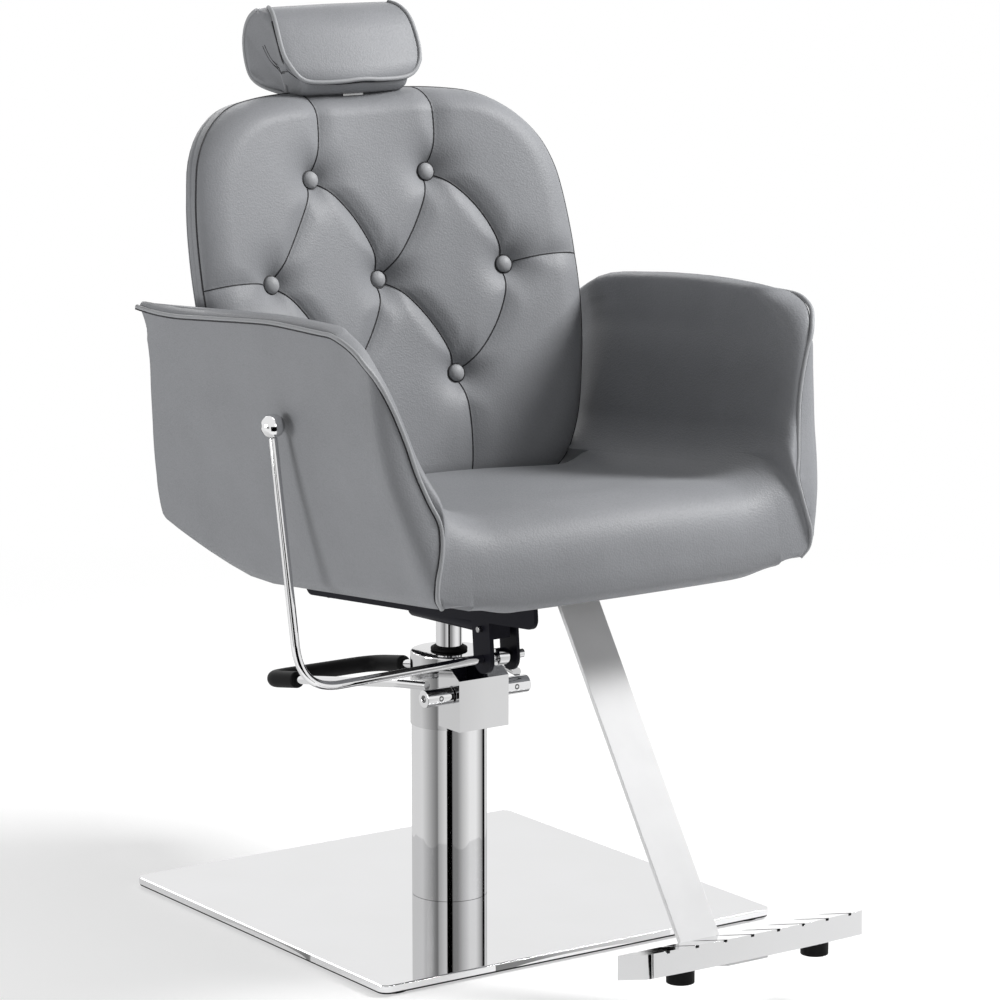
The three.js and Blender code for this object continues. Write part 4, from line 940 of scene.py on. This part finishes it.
for side, label in ((-1, "right"), (1, "left")):
    arm = skin("arm_pad_" + label, arm_rings(side), leather, sharp=45.0, ironed_above=IRON_ABOVE)
    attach(arm, "seat")
    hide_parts("arm_" + label)
    welt = arm_edge(side)
    along = np.gradient(welt, axis=0)
    along /= np.linalg.norm(along, axis=1, keepdims=True)
    inwards = np.stack([0 * along[:, 0], along[:, 2], -along[:, 1]], 1)
    arm_surface = surface_of(arm)
    piped = [from_seat(side * (x + PIPED_OUT), y, z) for x, y, z in welt]
    beside = [from_seat(side * x, y, z) for x, y, z in welt + BESIDE * inwards + [BESIDE_OUT, 0, 0]]
    across = from_seat(side, 0, 0) - from_seat(0, 0, 0)
    seamed = []
    for (x, y, z), step, near in zip(welt, inwards, beside):
        y, z = y + FLANK * step[1], z + FLANK * step[2]
        panel = arm_surface.ray_cast(from_seat(side * FAR_OUT, y, z), -across)[0]
        covered = panel is not None and abs(panel.x) * 1000 > x + FLANK
        seamed.append(arm_surface.find_nearest(near)[0] if covered else from_seat(side * (x + FLANK), y, z))
    piping = ("arm_piping_" + label, piped, ARM_PIPING, piping_leather)
    sewn("seat", PIPE_SIDES, [piping, ("arm_seam_" + label, calm(seamed, 3), ARM_SEAM, shade_and_stitch_leather)])


# Back: a padded panel wrapped round the sitter, drawn in by seven covered buttons and the
# pleats between them, with a piped band round it and a plain rear cover on a plywood board.
LEAN = radians(15)
from_back = tilted(LEAN, 0.158, 0.805)
BACK_OUTLINE = [
    (0, 260), (90, 258), (150, 251), (190, 241), (223, 222), (248, 198), (268, 167), (280, 130),
    (286, 95), (290, 45), (291, 0), (289, -54), (282, -109), (274, -147), (263, -192), (249, -228),
    (229, -260), (196, -282), (150, -291), (0, -292),
]
BUTTON_SPOTS = [(-90, 137), (90, 137), (-181, 4), (0, 2), (181, 4), (-91, -132), (91, -132)]


def top_fall(z):
    return 42 * max(0.0, (z - 120) / 130) ** 1.6


def outline(count, inset=0.0):
    half = smooth_line(BACK_OUTLINE, count // 2 + 1)
    loop = np.concatenate([half, half[-2:0:-1] * [-1, 1]])
    along = np.roll(loop, -1, 0) - np.roll(loop, 1, 0)
    along /= np.linalg.norm(along, axis=1, keepdims=True)
    return loop + inset * np.stack([along[:, 1], -along[:, 0]], 1)


def pleat(start, end, bow, depth):
    """A pleat between two points, that bows to one side, and its depth."""
    start, end = np.array(start, float), np.array(end, float)
    middle = (start + end) / 2 + 2 * np.array(bow, float)
    shares = np.linspace(0, 1, 25)[:, None]
    line = (1 - shares) ** 2 * start + 2 * shares * (1 - shares) * middle + shares**2 * end
    return line, depth


TL, TR, ML, MC, MR, BL, BR = BUTTON_SPOTS
BOLD = 8.0
PLEATS = [
    pleat(TL, MC, (14, 11), BOLD), pleat(TR, MR, (15, 12), BOLD),
    pleat(ML, BL, (12, 9), BOLD), pleat(MC, BR, (12, 9), BOLD),
    pleat(TL, ML, (3, -2), 5.5), pleat(TR, MC, (9, -6), 5.5),
    pleat(MC, BL, (10, -7), 5.5), pleat(MR, BR, (15, -10), 5.5),
    pleat(TL, (-74, 258), (9, 0), 5.0), pleat(TR, (103, 257), (7, -4), 5.0),
    pleat(ML, (-290, 2), (0, 3), 4.0), pleat(MR, (290, 8), (0, 4), 4.0),
    pleat(BL, (-101, -291), (7, 0), 4.5), pleat(BR, (78, -291), (9, 0), 4.5),
]
BUTTON_PULL, MIDDLE_PULL, BUTTON_REACH, DIMPLE, DIMPLE_REACH = 17, 6.0, 33, 9, 15
PLEAT_REACH, CREASE_SHARE, CREASE_REACH = 15, 0.35, 4


def drawn_in(points):
    """How far the tufting draws the leather in at each (x, z)."""
    total = np.zeros(len(points))
    for x, z in BUTTON_SPOTS:
        away = np.hypot(points[:, 0] - x, points[:, 1] - z)
        pull = BUTTON_PULL + (0.0 if x else MIDDLE_PULL)
        dimple = DIMPLE * np.exp(-((away / DIMPLE_REACH) ** 2))
        total += (pull * np.exp(-((away / BUTTON_REACH) ** 2)) + dimple) ** 3
    for line, depth in PLEATS:
        best = np.full(len(points), np.inf)
        for a, b in zip(line[:-1], line[1:]):
            span = b - a
            share = np.clip(((points - a) @ span) / (span @ span), 0, 1)
            best = np.minimum(best, np.hypot(*(points - a - share[:, None] * span).T))
        crease = CREASE_SHARE * depth * np.exp(-((best / CREASE_REACH) ** 2))
        total += (depth * np.exp(-((best / PLEAT_REACH) ** 2)) + crease) ** 3
    return np.cbrt(total)


BACK_SEAM, BACK_CROWN, EDGE_ROLL = 6.0, 20.0, 46.0


def padded_ring(points, share, edge):
    """A ring of the padded front, that far of the way out to the edge."""
    rim = np.minimum(1, (1 - share) * np.hypot(edge[:, 0], edge[:, 1]) / EDGE_ROLL)
    full = np.sqrt(1 - (1 - rim) ** 2)
    tuft = drawn_in(points) * np.minimum(1, rim * 2.2 + 0.25)
    low = BACK_SEAM + np.array([top_fall(z) for z in edge[:, 1]])
    depth = mix(low, tuft - BACK_CROWN, full) + np.array([wrap(x) for x in points[:, 0]])
    return [from_back(x, y, z) for (x, z), y in zip(points, depth)]


def flat_ring(loop, off):
    """A loop of (x, z) at an even distance behind the wrapped front."""
    return [from_back(x, wrap(x) + top_fall(z) + off, z) for x, z in loop]


BACK_SIDES = 520
BACK_RINGS = 172
BAND = [(2.2, 6.5), (2.6, 8.5), (1.0, 10.5), (0.0, 13.5), (0.2, 17.0), (1.6, 19.8), (10.4, 19.9)]
BAND.append((10.6, 10.3))
edge = outline(BACK_SIDES)
ring_shares = [(ring + 0.3) / (BACK_RINGS - 0.7) for ring in range(BACK_RINGS)]
back_rings = [padded_ring(edge * share, share, edge) for share in ring_shares]
back_rings += [flat_ring(outline(BACK_SIDES, inset), off) for inset, off in BAND]
back_rings += [flat_ring(edge * share, BAND[-1][1]) for share in (0.85, 0.6, 0.3, 0.08)]
back_pad = skin("back_pad", back_rings, leather, sharp=50.0)
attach(back_pad, "back")
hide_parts("back_cushion")

back_surface = surface_of(back_pad)
into_back = from_back(0, 1000, 0) - from_back(0, 0, 0)


def on_front(line, proud):
    """Lays a line of (x, z) on the padded front, a little proud of it."""
    found = [back_surface.ray_cast(from_back(x, -200, z), into_back)[0] for x, z in line]
    return [point - into_back * proud for point in found]


# Near-black lines in the pleats, along the panel's seam and round each button: painted shade in the folds and
# gaps.
FOLD, DEEP_FOLD, FOLD_SIDES, FOLD_PROUD = 0.0008, 0.0010, 8, 0.0002
BUTTON_GAP = 12.0
back_lines = []
for number, (line, depth) in enumerate(PLEATS, 1):
    radius = DEEP_FOLD if depth > 5.2 else FOLD
    fold = on_front(smooth_line(line, 90)[:-1], FOLD_PROUD)
    back_lines.append((f"pleat_fold_{number}", fold, radius, shade_and_stitch_leather))
panel_seam = on_front(outline(300, 2.0), FOLD_PROUD)
back_lines.append(("back_panel_seam", panel_seam, 0.0011, shade_and_stitch_leather, True))
turns = np.linspace(0, 2 * pi, 36, endpoint=False)
for number, (x, z) in enumerate(BUTTON_SPOTS, 1):
    ring = np.stack([x + BUTTON_GAP * np.cos(turns), z + BUTTON_GAP * np.sin(turns)], 1)
    back_lines.append((f"button_gap_{number}", on_front(ring, 0.0), 0.0013, shade_and_stitch_leather, True))
sewn("back", FOLD_SIDES, back_lines)


def button_tree():
    """Covered buttons on points: low domes that face the way the back leans."""
    inputs = {"Radius": "Float", "Finish": "Material"}
    graph, (spots, radius, surface) = geometry_graph("covered_buttons", inputs)
    ball = graph.node("MeshUVSphere", {"Segments": 36, "Rings": 18, "Radius": radius})
    dome = graph.node("Transform", {"Geometry": ball, "Scale": (1.0, 1.0, 0.62)})
    sockets = {"Geometry": dome, "Rotation": (pi / 2 - LEAN, 0.0, 0.0)}
    turned = graph.node("Transform", sockets)
    sockets = {"Points": spots, "Instance": turned}
    return coated(graph, graph.node("InstanceOnPoints", sockets), surface)


BUTTON_PROUD, MIDDLE_SINK = 1.5, 8.0
button_points = []
for x, z in BUTTON_SPOTS:
    button_points.append(from_back(x, wrap(x) + (0.0 if x else MIDDLE_SINK) - BUTTON_PROUD, z))
# The buttons wear the lighter piping leather: a painted highlight.
button_settings = {"Radius": 0.0112, "Finish": piping_leather}
buttons = grown("back_buttons", button_points, [], button_tree(), button_settings)
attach(buttons, "back")
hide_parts(*[f"tuft_button_{i}" for i in range(1, 8)])

COVER_SIDES = 120
COVER_EDGE = [
    (10.7, 19.3), (11.0, 20.2), (3.0, 20.2), (1.5, 20.6), (1.2, 21.5), (1.6, 22.7), (3.2, 23.7), (6.0, 23.9)
]


def cover_face(inset, off, shares):
    return [flat_ring(outline(COVER_SIDES, inset) * share, off) for share in shares]


cover_rings = cover_face(*COVER_EDGE[0], (0.05, 0.4, 0.7, 0.9))
cover_rings += [flat_ring(outline(COVER_SIDES, inset), off) for inset, off in COVER_EDGE]
cover_rings += cover_face(*COVER_EDGE[-1], (0.9, 0.7, 0.4, 0.15, 0.03))
cover = skin("rear_cover", cover_rings, leather, sharp=50.0)
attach(cover, "back")
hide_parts("back_cover")
dress("back_board", boarded("plywood", (0.2, 0.115, 0.05), (0.5, 0.33, 0.17)))
dress("headrest_guide", steel, bevel=0.0008)
dress("headrest_post", steel, bevel=0.0008)


# Headrest: a small bolster on a flat chromed post, a front panel piped on to a boxing that
# turns round a rear panel, with a double-stitched closing seam on each end.
PILLOW_PROFILE = [
    (29, 372), (14, 365), (2, 353), (-6, 336), (-11, 314), (-15, 292), (-18, 275), (-17, 261), (-8, 251),
    (10, 248), (30, 252), (50, 262), (66, 276), (76, 296), (79, 318), (75, 342), (62, 361), (45, 370),
]
PILLOW_HALF, PILLOW_FRONT, PILLOW_BULGE = 110.0, 18, 11.0
CORNER_TUCK, TUCK_BELOW, TUCK_OVER = 0.26, 290, 30
PILLOW_STATIONS = [
    (-110, 0.80), (-109.7, 0.87), (-108.4, 0.93), (-105, 0.965), (-97, 0.987), (-72, 1), (-36, 1.005),
    (0, 1.01), (36, 1.005), (72, 1), (97, 0.987), (105, 0.965), (108.4, 0.93), (109.7, 0.87), (110, 0.80),
]
profile = smooth_line([*PILLOW_PROFILE, PILLOW_PROFILE[0]], 97)[:-1]
middle_y, middle_z = np.mean(PILLOW_PROFILE, axis=0)


def pillow_ring(x, size):
    """The pillow's profile at x: its front bulges, and its lower corners are tucked in."""
    ring = []
    for y, z in profile:
        front = max(0.0, (middle_y - y) / (middle_y + PILLOW_FRONT))
        crown = PILLOW_BULGE * front * (1 - (x / PILLOW_HALF) ** 2)
        tuck = CORNER_TUCK * min(1.0, max(0.0, (TUCK_BELOW - z) / TUCK_OVER)) ** 2
        y, z = mix(middle_y, y, size), mix(middle_z, z, size)
        ring.append((x * (1 - tuck), y - crown, z))
    return ring


pillow_stations = smooth_line(PILLOW_STATIONS, 80)
pillow_rings = [[from_back(*point) for point in pillow_ring(x, size)] for x, size in pillow_stations]
pillow = skin("head_pillow", pillow_rings, leather, sharp=50.0)
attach(pillow, "headrest")
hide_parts("headrest_pillow")
pillow_surface = surface_of(pillow)


def on_pillow(line, proud):
    """Lays a line on the pillow, a little proud of it, and calms it."""
    found = [pillow_surface.find_nearest(from_back(*point))[:2] for point in line]
    return calm([spot + normal * proud for spot, normal in found], 6)


FRONT_PIPING = [
    (93, 26.6, 368), (98.5, 11, 359), (103, -0.6, 347), (104.5, -5, 337), (105, -7.4, 328),
    (105.5, -9.5, 319), (105.5, -11.4, 310), (105, -12.5, 302), (103, -14, 293), (99.5, -15.5, 284),
    (94, -16.5, 276), (87, -17.5, 269), (79, -18.3, 265), (70, -20, 262.5), (0, -27, 262),
]
END_STITCHES = [(36, 320), (36.3, 309.5), (34.7, 297.3), (28.2, 284.2), (16.5, 272), (4, 265)]
PIPING_PROUD, PANEL_MIDDLE, SEAM_OUT, SEAM_BACK, SEAM_ENDS = 0.0008, 318, 3.2, 2.0, 12
STITCH_GAP, STITCH_X, PIPED_END, PIPED_END_SIZE, PIPED_BEHIND = 2.5, 111, 107, 0.955, 20
half_line = smooth_line(FRONT_PIPING, 70)
piped = [*half_line, *(half_line[-2::-1] * [-1, 1, 1])]
seam_line = []
for x, y, z in piped:
    scale = 1 + SEAM_OUT / hypot(x, z - PANEL_MIDDLE)
    seam_line.append((x * scale, y + SEAM_BACK, PANEL_MIDDLE + (z - PANEL_MIDDLE) * scale))
pillow_seam = on_pillow(seam_line[SEAM_ENDS:-SEAM_ENDS], FOLD_PROUD)
# The piping is drawn in the lighter leather, a painted highlight; the line beside the front piping is painted
# shade in its seam, and the stitching is drawn as near-black lines.
welts = [
    ("pillow_front_piping", on_pillow(piped, PIPING_PROUD), 0.0029, piping_leather),
    ("pillow_front_seam", pillow_seam, 0.0010, shade_and_stitch_leather),
]
for side, label in ((-1, "right"), (1, "left")):
    end_ring = pillow_ring(side * PIPED_END, PIPED_END_SIZE)
    rear_seam = on_pillow([point for point in end_ring if point[1] > PIPED_BEHIND], PIPING_PROUD)
    welts.append(("pillow_end_piping_" + label, rear_seam, 0.0027, piping_leather))
    stitched = smooth_line([(side * STITCH_X, y, z) for y, z in END_STITCHES], 30)
    for row, shift in (("front", -STITCH_GAP), ("rear", STITCH_GAP)):
        stitches = on_pillow([(x, y + shift, z) for x, y, z in stitched], 0.0)
        welts.append((f"pillow_stitching_{label}_{row}", stitches, 0.0005, shade_and_stitch_leather))
sewn("headrest", PIPE_SIDES, welts)


# Footrest: a flat chromed bar bolted under the seat and bent under a cast tread with grooves across its top,
# on two rubber feet. The bar is drawn as a light grey satin non-metal: a painted reflection of the white
# studio.
painted_reflection_grey = satin("satin_silver", (0.64, 0.64, 0.645), 0.0)
bright = polished("tread_chrome", 0.6, 0.06)
dress("footrest_bar", painted_reflection_grey, bevel=0.0009, segments=3)
dress("footrest_tread", bright, bevel=0.001, segments=3)
for foot in ("footrest_foot_right", "footrest_foot_left"):
    dress(foot, black_rubber, bevel=0.001)
